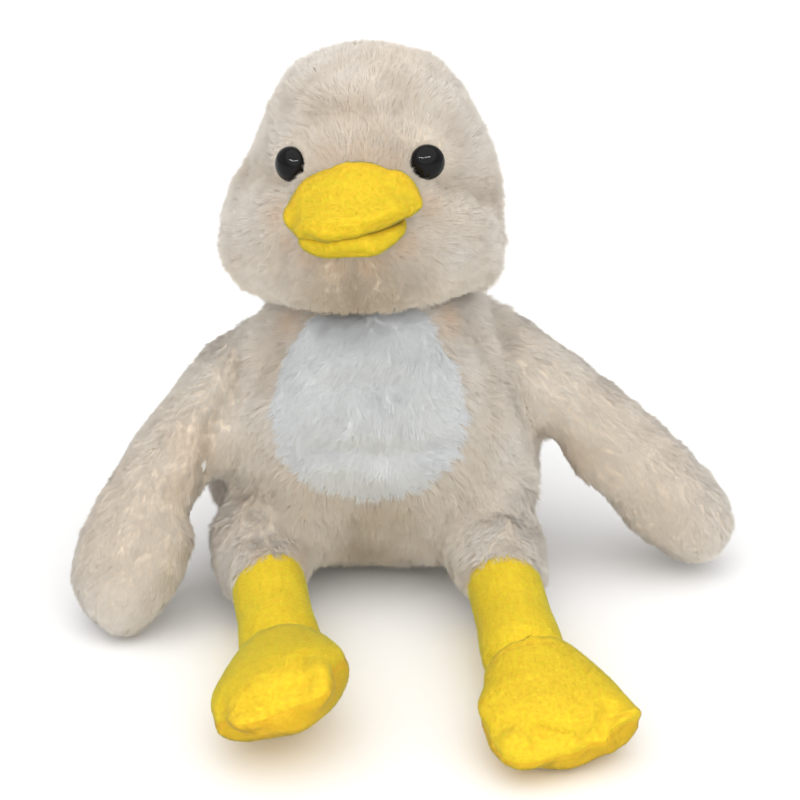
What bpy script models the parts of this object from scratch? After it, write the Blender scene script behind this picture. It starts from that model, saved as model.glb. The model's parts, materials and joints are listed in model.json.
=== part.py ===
"""A plush duck that sits with its legs forward, as covers, stuffing and fittings in real sizes.

The toy faces -Y, left and right are the toy's own, and the origin is the middle of its flat seat.
Every soft part starts as one coarse cage. Its covers are panels cut from the shell of that cage, and
its stuffing is the same cage drawn in by the wall of the cover, so that both follow one set of sizes.
"""

import math

import bmesh
import bpy
from mathutils import Matrix, Vector
from mathutils.bvhtree import BVHTree

PARTS = "plush_duck"
TOOLS = "cutters"
SIDES = {"left": 1, "right": -1}

# Finishes: color and roughness
FUR = ((0.80, 0.70, 0.60), 0.90)
FUR_BACK = ((0.74, 0.63, 0.53), 0.90)
WHITE_FUR = ((0.80, 0.82, 0.82), 0.90)
VELOUR = ((0.90, 0.62, 0.04), 0.70)
VELOUR_SOLE = ((0.80, 0.52, 0.03), 0.70)
STUFFING = ((0.92, 0.92, 0.90), 0.95)
EYE_BLACK = ((0.010, 0.010, 0.012), 0.08)
WASHER_GRAY = ((0.72, 0.74, 0.76), 0.40)

# Cloth, seams and clearances
FUR_WALL = 0.006
VELOUR_WALL = 0.0025
SEAM_GAP = 0.0003
MERGE_DISTANCE = 0.00001
TOOL_REACH = 0.4

# Torso, from the seat up
TORSO_HEIGHT = 0.152
TORSO_HALF_WIDTH = 0.081
TORSO_FRONT = 0.064
TORSO_BACK = 0.062
TORSO_SIDE_SEAM = 0.014
SEAT_TRIM = 0.0005

# Belly patch
PATCH_HALF_WIDTH = 0.043
PATCH_HALF_HEIGHT = 0.047
PATCH_HEIGHT = 0.107
PATCH_SHIFT = -0.003
PATCH_BACK = 0.030
PATCH_TAPER_SHARE = 0.28

# Neck: the head turns on a shallow dome, round a plug of its stuffing
NECK_DOME_RADIUS = 0.105
NECK_PLUG_RADIUS = 0.026
NECK_PLUG_DEPTH = 0.012
NECK_CLEARANCE = 0.0010

# Head, over the neck's axis
HEAD_OVERLAP = 0.017
HEAD_BOTTOM = TORSO_HEIGHT - HEAD_OVERLAP
HEAD_HEIGHT = 0.122
HEAD_HALF_WIDTH = 0.0665
HEAD_FRONT = 0.062
HEAD_BACK = 0.056
HEAD_SIDE_SEAM = 0.004
HEAD_TURN = math.radians(-8)
HEAD_ROLL = math.radians(-2)
HEAD_LEAN = 0.011
NECK_SHIFT = -0.003

# Eyes with their posts and lock washers
EYE_RADIUS = 0.0082
EYE_RISE = 0.0058
EYE_RIM = 0.0012
EYE_SINK = 0.0010
EYE_HALF_SPACING = 0.0305
EYE_HEIGHT = 0.081
EYE_SHIFT = 0.005
POST_RADIUS = 0.0022
POST_LENGTH = 0.014
WASHER_RADIUS = 0.0065
WASHER_THICKNESS = 0.0014
WASHER_SEAT = 0.0022

# Beak, on the face
BEAK_HEIGHT = 0.0705
BEAK_SHIFT = 0.003
BEAK_DROOP = 0.006
BEAK_ROOT = 0.016
BEAK_UPPER_LENGTH = 0.034
BEAK_UPPER_HALF_WIDTH = 0.0295
BEAK_UPPER_HALF_THICKNESS = 0.0104
BEAK_UPPER_PITCH = math.radians(17)
BEAK_LOWER_LENGTH = 0.025
BEAK_LOWER_HALF_WIDTH = 0.024
BEAK_LOWER_HALF_THICKNESS = 0.0078
BEAK_LOWER_PITCH = math.radians(24)
BEAK_LOWER_DROP = 0.0095
BEAK_ROLL = math.radians(5)

# Arms, each in its own upright plane
SHOULDER_INSET = 0.021
SHOULDER_BELOW_NECK = 0.018
SHOULDER_HALF_SPAN = TORSO_HALF_WIDTH - SHOULDER_INSET
SHOULDER_HEIGHT = TORSO_HEIGHT - SHOULDER_BELOW_NECK
SHOULDER_BACK = 0.003
ARM_ROOT_INSET = 0.014
ARM_ROOT_DROP = 0.0155
ARM_REACH = 0.101
HAND_HEIGHT = 0.018
ARM_DROP = SHOULDER_HEIGHT - HAND_HEIGHT
ARM_BOW = 0.006
ARM_HALF_WIDTH = 0.0225
ARM_HALF_THICKNESS = 0.0275
ARM_LEFT_TURN = math.radians(-12)
ARM_RIGHT_TURN = math.radians(52)

# Legs, lying forward along the floor
HIP_INSET = 0.026
HIP_BEHIND_FRONT = 0.019
THIGH_LIFT = 0.0015
THIGH_RADIUS = 0.0275
HIP_HALF_SPAN = TORSO_HALF_WIDTH - HIP_INSET
HIP_FORWARD = TORSO_FRONT - HIP_BEHIND_FRONT
HIP_HEIGHT = THIGH_RADIUS + THIGH_LIFT
THIGH_LENGTH = 0.034
HEM_SLANT = math.radians(20)
SOCKET_CLEARANCE = 0.0025
SOCKET_SIDE_CLEARANCE = 0.0005
SOCKET_CORNER_SHARE = 0.45
SHANK_RADIUS = 0.0172
SHANK_START = 0.024
ANKLE_DISTANCE = 0.089
CORE_OVERLAP = 0.006
LEG_PITCH = math.radians(5)
LEG_LEFT_TURN = math.radians(6.5)
LEG_RIGHT_TURN = math.radians(10)

# Feet, each with three toes
FOOT_LENGTH = 0.066
FOOT_HALF_WIDTH = 0.0322
FOOT_HALF_THICKNESS = 0.0172
TOE_DEPTH = 0.0080
ANKLE_SWING = math.radians(26)
FOOT_LEFT_PITCH = math.radians(0)
FOOT_LEFT_ROLL = math.radians(0)
FOOT_LEFT_TURN = math.radians(9)
FOOT_RIGHT_PITCH = math.radians(18)
FOOT_RIGHT_ROLL = math.radians(-22)
FOOT_RIGHT_TURN = math.radians(-1)

# How round each kind of shape is
BODY_SIDES = 8
LIMB_SIDES = 8
FOOT_SIDES = 12
TURNED_STEPS = 14
DOME_STEPS = 24
ARC_STEPS = 4
SOFT_LEVELS = 1

# Stations along the torso: height, half width, front and back, as shares of the torso's own sizes
TORSO_SHARES = (
    (-0.010, 0.56, 0.30, 0.60),
    (0.050, 0.90, 0.56, 0.90),
    (0.200, 1.05, 0.94, 1.04),
    (0.420, 1.00, 1.04, 1.02),
    (0.620, 0.90, 0.94, 0.92),
    (0.790, 0.80, 0.80, 0.80),
    (0.930, 0.62, 0.62, 0.62),
    (1.010, 0.34, 0.36, 0.36),
)
# The same along the head
HEAD_SHARES = (
    (-0.040, 0.58, 0.34, 0.66),
    (0.060, 0.96, 0.80, 0.90),
    (0.230, 1.07, 1.06, 1.02),
    (0.430, 0.99, 1.00, 1.06),
    (0.620, 0.84, 0.88, 1.02),
    (0.800, 0.72, 0.70, 0.86),
    (0.940, 0.48, 0.46, 0.58),
    (1.000, 0.20, 0.20, 0.30),
)
# Along an arm: place on its center line, and its thickness
ARM_SHARES = (
    (0.00, 0.68),
    (0.26, 0.86),
    (0.54, 0.95),
    (0.80, 1.06),
    (0.97, 1.10),
    (1.09, 0.64),
)
# How near two places on the arm's center line lie where its direction is taken
ARM_STEP_SHARE = 0.01
# Along a thigh: distance from the hip as a share of its radius, and its thickness
THIGH_BALL_SHARES = (
    (-0.96, 0.42),
    (-0.62, 0.86),
    (0.00, 1.04),
)
# Along a thigh: distance from the hip as a share of its length, and its thickness
THIGH_TAPER_SHARES = (
    (0.45, 0.94),
    (1.00, 0.82),
    (1.80, 0.80),
)
# Along a foot: distance from the ankle, half width and half thickness
FOOT_SHARES = (
    (-0.16, 0.46, 0.86),
    (0.12, 0.62, 1.04),
    (0.56, 1.04, 1.04),
    (0.90, 1.02, 0.92),
    (1.01, 0.60, 0.44),
)
# Along the beak: distance from the face, half width and half thickness
BEAK_SHARES = (
    (0.12, 1.06, 1.08),
    (0.70, 0.84, 0.92),
    (1.02, 0.34, 0.40),
)


def clear_scene():
    """Remove what the start-up scene holds."""
    for item in list(bpy.data.objects):
        bpy.data.objects.remove(item, do_unlink=True)


def add_collection(name):
    """A collection of its own in the scene."""
    made = bpy.data.collections.new(name)
    bpy.context.scene.collection.children.link(made)
    return made


def add_material(name, finish):
    """One plain finish."""
    color, roughness = finish
    made = bpy.data.materials.new(name)
    made.use_nodes = True
    shader = made.node_tree.nodes["Principled BSDF"]
    shader.inputs["Base Color"].default_value = (*color, 1.0)
    shader.inputs["Roughness"].default_value = roughness
    shader.inputs["Metallic"].default_value = 0.0
    made.diffuse_color = (*color, 1.0)
    return made


def add_joint(name, location, turn=(0.0, 0.0, 0.0), parent=None):
    """An empty on a joint's axis, which carries the pieces that the joint moves."""
    made = bpy.data.objects.new(name, None)
    made.location = location
    made.rotation_euler = turn
    made.parent = parent
    bpy.context.scene.collection.objects.link(made)
    return made


def add_piece(name, mesh, finish, parent, location=(0.0, 0.0, 0.0), turn=(0.0, 0.0, 0.0)):
    """One named piece of the toy, with its own finish."""
    made = bpy.data.objects.new(name, mesh.copy())
    made.data.materials.append(add_material(name, finish))
    made.data.shade_smooth()
    made.location = location
    made.rotation_euler = turn
    made.parent = parent
    bpy.data.collections[PARTS].objects.link(made)
    return made


def add_tool(name, mesh, parent, location=(0.0, 0.0, 0.0), turn=(0.0, 0.0, 0.0)):
    """A cutter, which isn't part of the toy."""
    made = bpy.data.objects.new(name, mesh.copy())
    made.location = location
    made.rotation_euler = turn
    made.parent = parent
    made.hide_render = True
    made.display_type = "WIRE"
    bpy.data.collections[TOOLS].objects.link(made)
    return made


def soften(item):
    """Round a coarse cage, with flat facets that a cover's two faces and its stuffing share."""
    modifier = item.modifiers.new("Soften", "SUBSURF")
    modifier.levels = SOFT_LEVELS
    modifier.render_levels = SOFT_LEVELS
    item.modifiers.new("Facets", "TRIANGULATE")


def add_wall(item, wall):
    """Turn a closed surface into cloth of this thickness, inwards."""
    modifier = item.modifiers.new("Wall", "SOLIDIFY")
    modifier.thickness = wall
    modifier.offset = -1.0


def draw_in(item, distance):
    """Move a surface inwards, or outwards where the distance is negative."""
    modifier = item.modifiers.new("Draw in", "DISPLACE")
    modifier.mid_level = 0.0
    modifier.strength = -distance


def turn_profile(item, steps):
    """Turn a profile round the item's Z axis."""
    modifier = item.modifiers.new("Turn", "SCREW")
    modifier.steps = steps
    modifier.render_steps = steps
    modifier.use_merge_vertices = True
    modifier.merge_threshold = MERGE_DISTANCE


def combine(item, tools, operation):
    """Cut, keep or join with each tool in turn."""
    for tool in tools:
        modifier = item.modifiers.new(tool.name, "BOOLEAN")
        modifier.operation = operation
        modifier.solver = "EXACT"
        modifier.object = tool


def swell(sides):
    """How much larger a cage's ring is than the round ring that it gives."""
    return 1 / (2 / 3 + math.cos(math.tau / sides) / 3)


def oval_ring(center, across, along, half_across, toward, away, sides):
    """Points of one oval ring, whose two halves along `along` may differ."""
    points = []
    for index in range(sides):
        angle = math.tau * index / sides
        depth = toward if math.sin(angle) < 0 else away
        offset = across * (half_across * math.cos(angle)) + along * (depth * math.sin(angle))
        points.append(center + offset * swell(sides))
    return points


def cage_mesh(name, rings):
    """A closed coarse mesh through a row of rings."""
    mesh = bpy.data.meshes.new(name)
    shape = bmesh.new()
    rows = [[shape.verts.new(point) for point in points] for points in rings]
    for lower, upper in zip(rows, rows[1:]):
        for index, corner in enumerate(lower):
            after = (index + 1) % len(lower)
            shape.faces.new((corner, lower[after], upper[after], upper[index]))
    shape.faces.new(rows[0])
    shape.faces.new(rows[-1])
    bmesh.ops.recalc_face_normals(shape, faces=shape.faces)
    shape.to_mesh(mesh)
    shape.free()
    return mesh


def box_mesh(name, low, high):
    """A box between two corners."""
    mesh = bpy.data.meshes.new(name)
    shape = bmesh.new()
    size = Vector(high) - Vector(low)
    middle = (Vector(high) + Vector(low)) / 2
    frame = Matrix.Translation(middle) @ Matrix.Diagonal((*size, 1.0))
    bmesh.ops.create_cube(shape, size=1.0, matrix=frame)
    shape.to_mesh(mesh)
    shape.free()
    return mesh


def drum_mesh(name, radius, low, high, steps, far_radius=None):
    """A cylinder, or a cone where the far radius differs, whose facets lie outside the true one."""
    mesh = bpy.data.meshes.new(name)
    shape = bmesh.new()
    frame = Matrix.Translation((0.0, 0.0, (low + high) / 2))
    outward = 1 / math.cos(math.pi / steps)
    bmesh.ops.create_cone(
        shape,
        cap_ends=True,
        segments=steps,
        radius1=outward * radius,
        radius2=outward * (radius if far_radius is None else far_radius),
        depth=high - low,
        matrix=frame,
    )
    shape.to_mesh(mesh)
    shape.free()
    return mesh


def ball_mesh(name, radius, steps):
    """A sphere whose facets lie outside the true one."""
    mesh = bpy.data.meshes.new(name)
    shape = bmesh.new()
    outer = radius / math.cos(math.pi / steps) ** 2
    bmesh.ops.create_uvsphere(shape, u_segments=steps, v_segments=steps // 2, radius=outer)
    shape.to_mesh(mesh)
    shape.free()
    return mesh


def profile_mesh(name, points, closed):
    """An outline in the XZ plane, ready to be turned."""
    mesh = bpy.data.meshes.new(name)
    edges = [(index, index + 1) for index in range(len(points) - 1)]
    if closed:
        edges.append((len(points) - 1, 0))
    mesh.from_pydata([(radius, 0.0, height) for radius, height in points], edges, [])
    return mesh


def arc_points(center, radius, first, last, squash=1.0):
    """Points of an arc in (radius, height), both ends included; squash flattens its height."""
    points = []
    for index in range(ARC_STEPS + 1):
        angle = first + (last - first) * index / ARC_STEPS
        points.append((radius * math.cos(angle), center + squash * radius * math.sin(angle)))
    return points


def upright_cage(name, bottom, height, half_width, front, back, shares, lean=0.0):
    """The cage of a standing form, ring on ring, whose top may lean to its left."""
    rings = []
    for place, width_share, front_share, back_share in shares:
        center = Vector((lean * (place - 0.5), 0.0, bottom + place * height))
        rings.append(oval_ring(
            center,
            Vector((1.0, 0.0, 0.0)),
            Vector((0.0, 1.0, 0.0)),
            width_share * half_width,
            front_share * front,
            back_share * back,
            BODY_SIDES,
        ))
    return cage_mesh(name, rings)


def arm_point(place):
    """A point of the arm's center line, in the upright plane through its shoulder."""
    root = Vector((-ARM_ROOT_INSET, 0.0, -ARM_ROOT_DROP))
    hand = Vector((ARM_REACH, 0.0, -ARM_DROP))
    bow = Vector((ARM_DROP, 0.0, ARM_REACH)).normalized() * ARM_BOW
    return root.lerp(hand, place) + bow * (4 * place * (1 - place))


def arm_cage(name):
    """The arm swells from a narrow root to a full hand."""
    rings = []
    for place, share in ARM_SHARES:
        run = (arm_point(place + ARM_STEP_SHARE) - arm_point(place - ARM_STEP_SHARE)).normalized()
        across = Vector((-run.z, 0.0, run.x))
        rings.append(oval_ring(
            arm_point(place),
            across,
            Vector((0.0, 1.0, 0.0)),
            share * ARM_HALF_WIDTH,
            share * ARM_HALF_THICKNESS,
            share * ARM_HALF_THICKNESS,
            LIMB_SIDES,
        ))
    return cage_mesh(name, rings)


def forward_ring(distance, half_width, half_thickness, sides):
    """A ring square to a form that runs forward, along -Y."""
    return oval_ring(
        Vector((0.0, -distance, 0.0)),
        Vector((1.0, 0.0, 0.0)),
        Vector((0.0, 0.0, 1.0)),
        half_width,
        half_thickness,
        half_thickness,
        sides,
    )


def thigh_cage(name):
    """A ball round the hip, drawn out past the place of the leg's hem."""
    stations = [(place * THIGH_RADIUS, share) for place, share in THIGH_BALL_SHARES]
    stations += [(place * THIGH_LENGTH, share) for place, share in THIGH_TAPER_SHARES]
    rings = []
    for distance, share in stations:
        radius = share * THIGH_RADIUS
        rings.append(forward_ring(distance, radius, radius, LIMB_SIDES))
    return cage_mesh(name, rings)


def foot_cage(name):
    """A flat foot, whose front edge runs out and in round three toes."""
    rings = []
    for place, width_share, thickness_share in FOOT_SHARES:
        half_width = width_share * FOOT_HALF_WIDTH
        half_thickness = thickness_share * FOOT_HALF_THICKNESS
        points = forward_ring(place * FOOT_LENGTH, half_width, half_thickness, FOOT_SIDES)
        reach = max(0.0, place) ** 2 * TOE_DEPTH
        for point in points:
            side = point.x / (half_width * swell(FOOT_SIDES))
            point.y -= reach * math.cos(math.tau * side)
        rings.append(points)
    return cage_mesh(name, rings)


def beak_cage(name, length, half_width, half_thickness):
    """One half of the beak: a padded lens out of the face, whose corners droop."""
    rings = [forward_ring(-BEAK_ROOT, half_width, half_thickness, LIMB_SIDES)]
    for place, width_share, thickness_share in BEAK_SHARES:
        rings.append(forward_ring(
            place * length,
            width_share * half_width,
            thickness_share * half_thickness,
            LIMB_SIDES,
        ))
    for point in [point for ring in rings for point in ring]:
        point.z -= BEAK_DROOP * (point.x / half_width) ** 2
    return cage_mesh(name, rings)


def eye_profile(grow):
    """A dome with a flat back and a post, from its top to the post's end."""
    back = -EYE_RIM - grow
    points = arc_points(grow, EYE_RADIUS + grow, math.pi / 2, 0.0, EYE_RISE / EYE_RADIUS)
    points[0] = (0.0, points[0][1])
    points.append((EYE_RADIUS + grow, back))
    points.append((POST_RADIUS + grow, back))
    points.append((POST_RADIUS + grow, -POST_LENGTH - grow))
    points.append((0.0, -POST_LENGTH - grow))
    return points


def ring_profile(inner, outer, low, high):
    """A washer's outline."""
    return [(outer, high), (outer, low), (inner, low), (inner, high)]


def shank_profile(radius, start, end):
    """A round limb with a ball end, from its pole down to its start."""
    points = arc_points(end, radius, math.pi / 2, 0.0)
    points[0] = (0.0, points[0][1])
    points.append((radius, start))
    return points


def surface_at(form, x, z):
    """The point and normal where a form's front meets a line along Y, in the form's own space."""
    graph = bpy.context.evaluated_depsgraph_get()
    evaluated = form.evaluated_get(graph)
    tree = BVHTree.FromObject(evaluated, graph)
    point, normal, _, _ = tree.ray_cast(Vector((x, -TOOL_REACH, z)), Vector((0.0, 1.0, 0.0)))
    return point, normal


def panel_tools(prefix, side_seam, parent):
    """Boxes that hold the front left, front right and back panels of a standing form."""
    half = SEAM_GAP / 2
    far = TOOL_REACH
    spans = {
        "front_left": ((half, -far, -far), (far, -side_seam - half, far)),
        "front_right": ((-far, -far, -far), (-half, -side_seam - half, far)),
        "back": ((-far, -side_seam + half, -far), (far, far, far)),
    }
    return {
        name: add_tool(f"{prefix}_{name}_tool", box_mesh(name, low, high), parent)
        for name, (low, high) in spans.items()
    }


def half_tools(prefix, axis, parent):
    """Boxes on the low and the high side of a seam plane through the form's own axis."""
    half = SEAM_GAP / 2
    low_corner = [-TOOL_REACH] * 3
    high_corner = [TOOL_REACH] * 3
    low_side = list(high_corner)
    low_side[axis] = -half
    high_side = list(low_corner)
    high_side[axis] = half
    low_box = box_mesh(f"{prefix}_low", low_corner, low_side)
    high_box = box_mesh(f"{prefix}_high", high_side, high_corner)
    low = add_tool(f"{prefix}_low_tool", low_box, parent)
    high = add_tool(f"{prefix}_high_tool", high_box, parent)
    return low, high


def build_torso(hips):
    """The body: two front panels, a back panel with the seat, the belly patch and the stuffing."""
    cage = upright_cage(
        "torso_cage", -SEAT_TRIM, TORSO_HEIGHT, TORSO_HALF_WIDTH, TORSO_FRONT, TORSO_BACK, TORSO_SHARES
    )
    panels = panel_tools("torso", TORSO_SIDE_SEAM, None)
    far = TOOL_REACH
    seat = add_tool("seat_tool", box_mesh("seat", (-far, -far, -far), (far, far, 0.0)), None)
    dome_center = (NECK_SHIFT, 0.0, TORSO_HEIGHT - NECK_DOME_RADIUS)
    dome = add_tool("neck_dome_tool", ball_mesh("dome", NECK_DOME_RADIUS, DOME_STEPS), None, dome_center)
    plug_low = TORSO_HEIGHT - NECK_PLUG_DEPTH - NECK_CLEARANCE
    hole_mesh = drum_mesh("hole", NECK_PLUG_RADIUS + NECK_CLEARANCE, plug_low, TOOL_REACH, TURNED_STEPS)
    hole = add_tool("neck_hole_tool", hole_mesh, None, (NECK_SHIFT, 0.0, 0.0))
    sockets = {side: add_socket(side, hips[side]) for side in hips}
    patch = add_patch_tool("patch_tool", 0.0)
    patch_rim = add_patch_tool("patch_rim_tool", SEAM_GAP)

    for name, panel in panels.items():
        cover = add_piece(f"torso_cover_{name}", cage, FUR if name != "back" else FUR_BACK, None)
        soften(cover)
        add_wall(cover, FUR_WALL)
        combine(cover, [panel, dome], "INTERSECT")
        reached = [seat, hole]
        if name == "back":
            reached += list(sockets.values())
        else:
            reached += [sockets[name.removeprefix("front_")], patch_rim]
        combine(cover, reached, "DIFFERENCE")

    belly = add_piece("belly_patch", cage, WHITE_FUR, None)
    soften(belly)
    add_wall(belly, FUR_WALL)
    combine(belly, [patch, dome], "INTERSECT")

    stuffing = add_piece("torso_stuffing", cage, STUFFING, None)
    soften(stuffing)
    draw_in(stuffing, FUR_WALL + SEAM_GAP)
    combine(stuffing, [hole, *sockets.values()], "DIFFERENCE")
    return cage


def socket_outline():
    """Half of the hollow's outline: place along the hip's axis, and reach from that axis."""
    half = THIGH_RADIUS + SOCKET_SIDE_CLEARANCE
    reach = THIGH_RADIUS + SOCKET_CLEARANCE
    corner = SOCKET_CORNER_SHARE * THIGH_RADIUS
    points = [(half, 0.0)]
    for radius, place in arc_points(0.0, corner, 0.0, math.pi / 2):
        points.append((half - corner + radius, reach - corner + place))
    points += [(-place, radius) for place, radius in reversed(points)]
    return points


def add_socket(side, hip):
    """The hollow that a thigh turns in: a barrel round the hip's axis, open downwards."""
    outline = socket_outline()
    turned = [(reach, place) for place, reach in outline]
    barrel_mesh = profile_mesh("barrel_outline", turned, closed=False)
    barrel = add_tool(f"socket_{side}_barrel", barrel_mesh, hip, turn=(0.0, math.pi / 2, 0.0))
    turn_profile(barrel, TURNED_STEPS)
    well = bmesh.new()
    rim = [well.verts.new((place, reach, 0.0)) for place, reach in outline]
    rim += [well.verts.new((place, -reach, 0.0)) for place, reach in outline[-2:0:-1]]
    top = well.faces.new(rim)
    pushed = bmesh.ops.extrude_face_region(well, geom=[top])
    moved = [item for item in pushed["geom"] if isinstance(item, bmesh.types.BMVert)]
    bmesh.ops.translate(well, vec=(0.0, 0.0, -TOOL_REACH), verts=moved)
    bmesh.ops.recalc_face_normals(well, faces=well.faces)
    well_mesh = bpy.data.meshes.new("socket_well")
    well.to_mesh(well_mesh)
    well.free()
    socket = add_tool(f"socket_{side}_tool", well_mesh, hip)
    combine(socket, [barrel], "UNION")
    return socket


def add_patch_tool(name, grow):
    """An oval prism through the front of the body, narrower at its top."""
    half_width = PATCH_HALF_WIDTH + grow
    half_height = PATCH_HALF_HEIGHT + grow
    mesh = drum_mesh(name, half_height, PATCH_BACK - grow, TOOL_REACH, TURNED_STEPS)
    for corner in mesh.vertices:
        taper = 1 - PATCH_TAPER_SHARE * corner.co.y / half_height
        corner.co.x *= taper * half_width / half_height
    return add_tool(name, mesh, None, (PATCH_SHIFT, 0.0, PATCH_HEIGHT), (math.pi / 2, 0.0, 0.0))


def build_head(neck):
    """The head's three panels and stuffing, with the eyes and the beak on its face."""
    cage = upright_cage(
        "head_cage",
        HEAD_BOTTOM - neck.location.z,
        HEAD_HEIGHT,
        HEAD_HALF_WIDTH,
        HEAD_FRONT,
        HEAD_BACK,
        HEAD_SHARES,
        HEAD_LEAN,
    )
    form = add_tool("head_form_tool", cage, neck)
    soften(form)
    panels = panel_tools("head", HEAD_SIDE_SEAM, neck)
    radius = NECK_DOME_RADIUS + NECK_CLEARANCE
    dome_center = neck.location - Vector((0.0, 0.0, NECK_DOME_RADIUS))
    dome = add_tool("head_seat_tool", ball_mesh("head_seat", radius, DOME_STEPS), None, dome_center)
    plug_mesh = drum_mesh("plug", NECK_PLUG_RADIUS, -NECK_PLUG_DEPTH, HEAD_HEIGHT / 2, TURNED_STEPS)
    plug = add_tool("neck_plug_tool", plug_mesh, None, neck.location)
    bpy.context.view_layer.update()

    stuffing = add_piece("head_stuffing", cage, STUFFING, neck)
    soften(stuffing)
    draw_in(stuffing, FUR_WALL + SEAM_GAP)
    combine(stuffing, [dome], "DIFFERENCE")
    combine(stuffing, [plug], "UNION")
    eye_tools = {}
    for side, sign in SIDES.items():
        eye_height = HEAD_BOTTOM + EYE_HEIGHT - neck.location.z
        point, normal = surface_at(form, EYE_SHIFT + sign * EYE_HALF_SPACING, eye_height)
        turn = normal.to_track_quat("Z", "Y").to_euler()
        eye_tools[side] = build_eye(side, neck, point - normal * EYE_SINK, turn, stuffing)
    for name, panel in panels.items():
        cover = add_piece(f"head_cover_{name}", cage, FUR if name != "back" else FUR_BACK, neck)
        soften(cover)
        add_wall(cover, FUR_WALL)
        combine(cover, [panel], "INTERSECT")
        reached = [dome]
        if name != "back":
            reached.append(eye_tools[name.removeprefix("front_")])
        combine(cover, reached, "DIFFERENCE")
    build_beak(neck, form, cage)


def build_eye(side, neck, place, turn, stuffing):
    """A domed eye on a post, and the washer that locks it behind the cloth."""
    eye_mesh = profile_mesh("eye_profile", eye_profile(0.0), closed=False)
    eye = add_piece(f"eye_{side}", eye_mesh, EYE_BLACK, neck, place, turn)
    turn_profile(eye, TURNED_STEPS)
    room = add_tool(
        f"eye_{side}_tool", profile_mesh("eye_room", eye_profile(SEAM_GAP), closed=False), neck, place, turn
    )
    turn_profile(room, TURNED_STEPS)
    top = -(FUR_WALL - EYE_SINK + WASHER_SEAT)
    low = top - WASHER_THICKNESS
    washer_mesh = profile_mesh(
        "washer_profile", ring_profile(POST_RADIUS + SEAM_GAP, WASHER_RADIUS, low, top), closed=True
    )
    washer = add_piece(f"eye_washer_{side}", washer_mesh, WASHER_GRAY, neck, place, turn)
    turn_profile(washer, TURNED_STEPS)
    pocket_mesh = drum_mesh("pocket", WASHER_RADIUS + SEAM_GAP, low - SEAM_GAP, FUR_WALL, TURNED_STEPS)
    pocket = add_tool(f"washer_{side}_tool", pocket_mesh, neck, place, turn)
    combine(stuffing, [pocket, room], "DIFFERENCE")
    return room


def build_beak(neck, form, cage):
    """The upper and the lower half of the beak, each a stuffed cover sewn to the face."""
    face = add_tool("face_tool", cage, neck)
    soften(face)
    draw_in(face, -SEAM_GAP)
    upper_height = HEAD_BOTTOM + BEAK_HEIGHT - neck.location.z
    halves = {
        "upper": (upper_height, BEAK_UPPER_LENGTH, BEAK_UPPER_HALF_WIDTH, BEAK_UPPER_HALF_THICKNESS,
                  BEAK_UPPER_PITCH),
        "lower": (upper_height - BEAK_LOWER_DROP, BEAK_LOWER_LENGTH, BEAK_LOWER_HALF_WIDTH,
                  BEAK_LOWER_HALF_THICKNESS, BEAK_LOWER_PITCH),
    }
    reached = [face]
    for half, (height, length, half_width, half_thickness, pitch) in halves.items():
        mesh = beak_cage(f"beak_{half}_cage", length, half_width, half_thickness)
        point, _ = surface_at(form, BEAK_SHIFT, height)
        turn = (pitch, -BEAK_ROLL, 0.0)
        cover = add_piece(f"beak_{half}_cover", mesh, VELOUR, neck, point, turn)
        soften(cover)
        add_wall(cover, VELOUR_WALL)
        combine(cover, reached, "DIFFERENCE")
        stuffing = add_piece(f"beak_{half}_stuffing", mesh, STUFFING, neck, point, turn)
        soften(stuffing)
        draw_in(stuffing, VELOUR_WALL + SEAM_GAP)
        combine(stuffing, reached, "DIFFERENCE")
        if half == "upper":
            room = add_tool("beak_upper_tool", mesh, neck, point, turn)
            soften(room)
            draw_in(room, -SEAM_GAP)
            reached.append(room)


def build_arm(side, shoulder, torso_cage):
    """An arm's front and back panel and its stuffing, its root laid against the body."""
    cage = arm_cage(f"arm_{side}_cage")
    body = add_tool(f"body_by_arm_{side}", torso_cage, None)
    soften(body)
    draw_in(body, -SEAM_GAP)
    low, high = half_tools(f"arm_{side}", 1, shoulder)
    panels = {"front": low, "back": high} if side == "left" else {"front": high, "back": low}
    for name, panel in panels.items():
        finish = FUR if name == "front" else FUR_BACK
        cover = add_piece(f"arm_{side}_cover_{name}", cage, finish, shoulder)
        soften(cover)
        add_wall(cover, FUR_WALL)
        combine(cover, [panel], "INTERSECT")
        combine(cover, [body], "DIFFERENCE")
    stuffing = add_piece(f"arm_{side}_stuffing", cage, STUFFING, shoulder)
    soften(stuffing)
    draw_in(stuffing, FUR_WALL + SEAM_GAP)
    combine(stuffing, [body], "DIFFERENCE")


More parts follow.
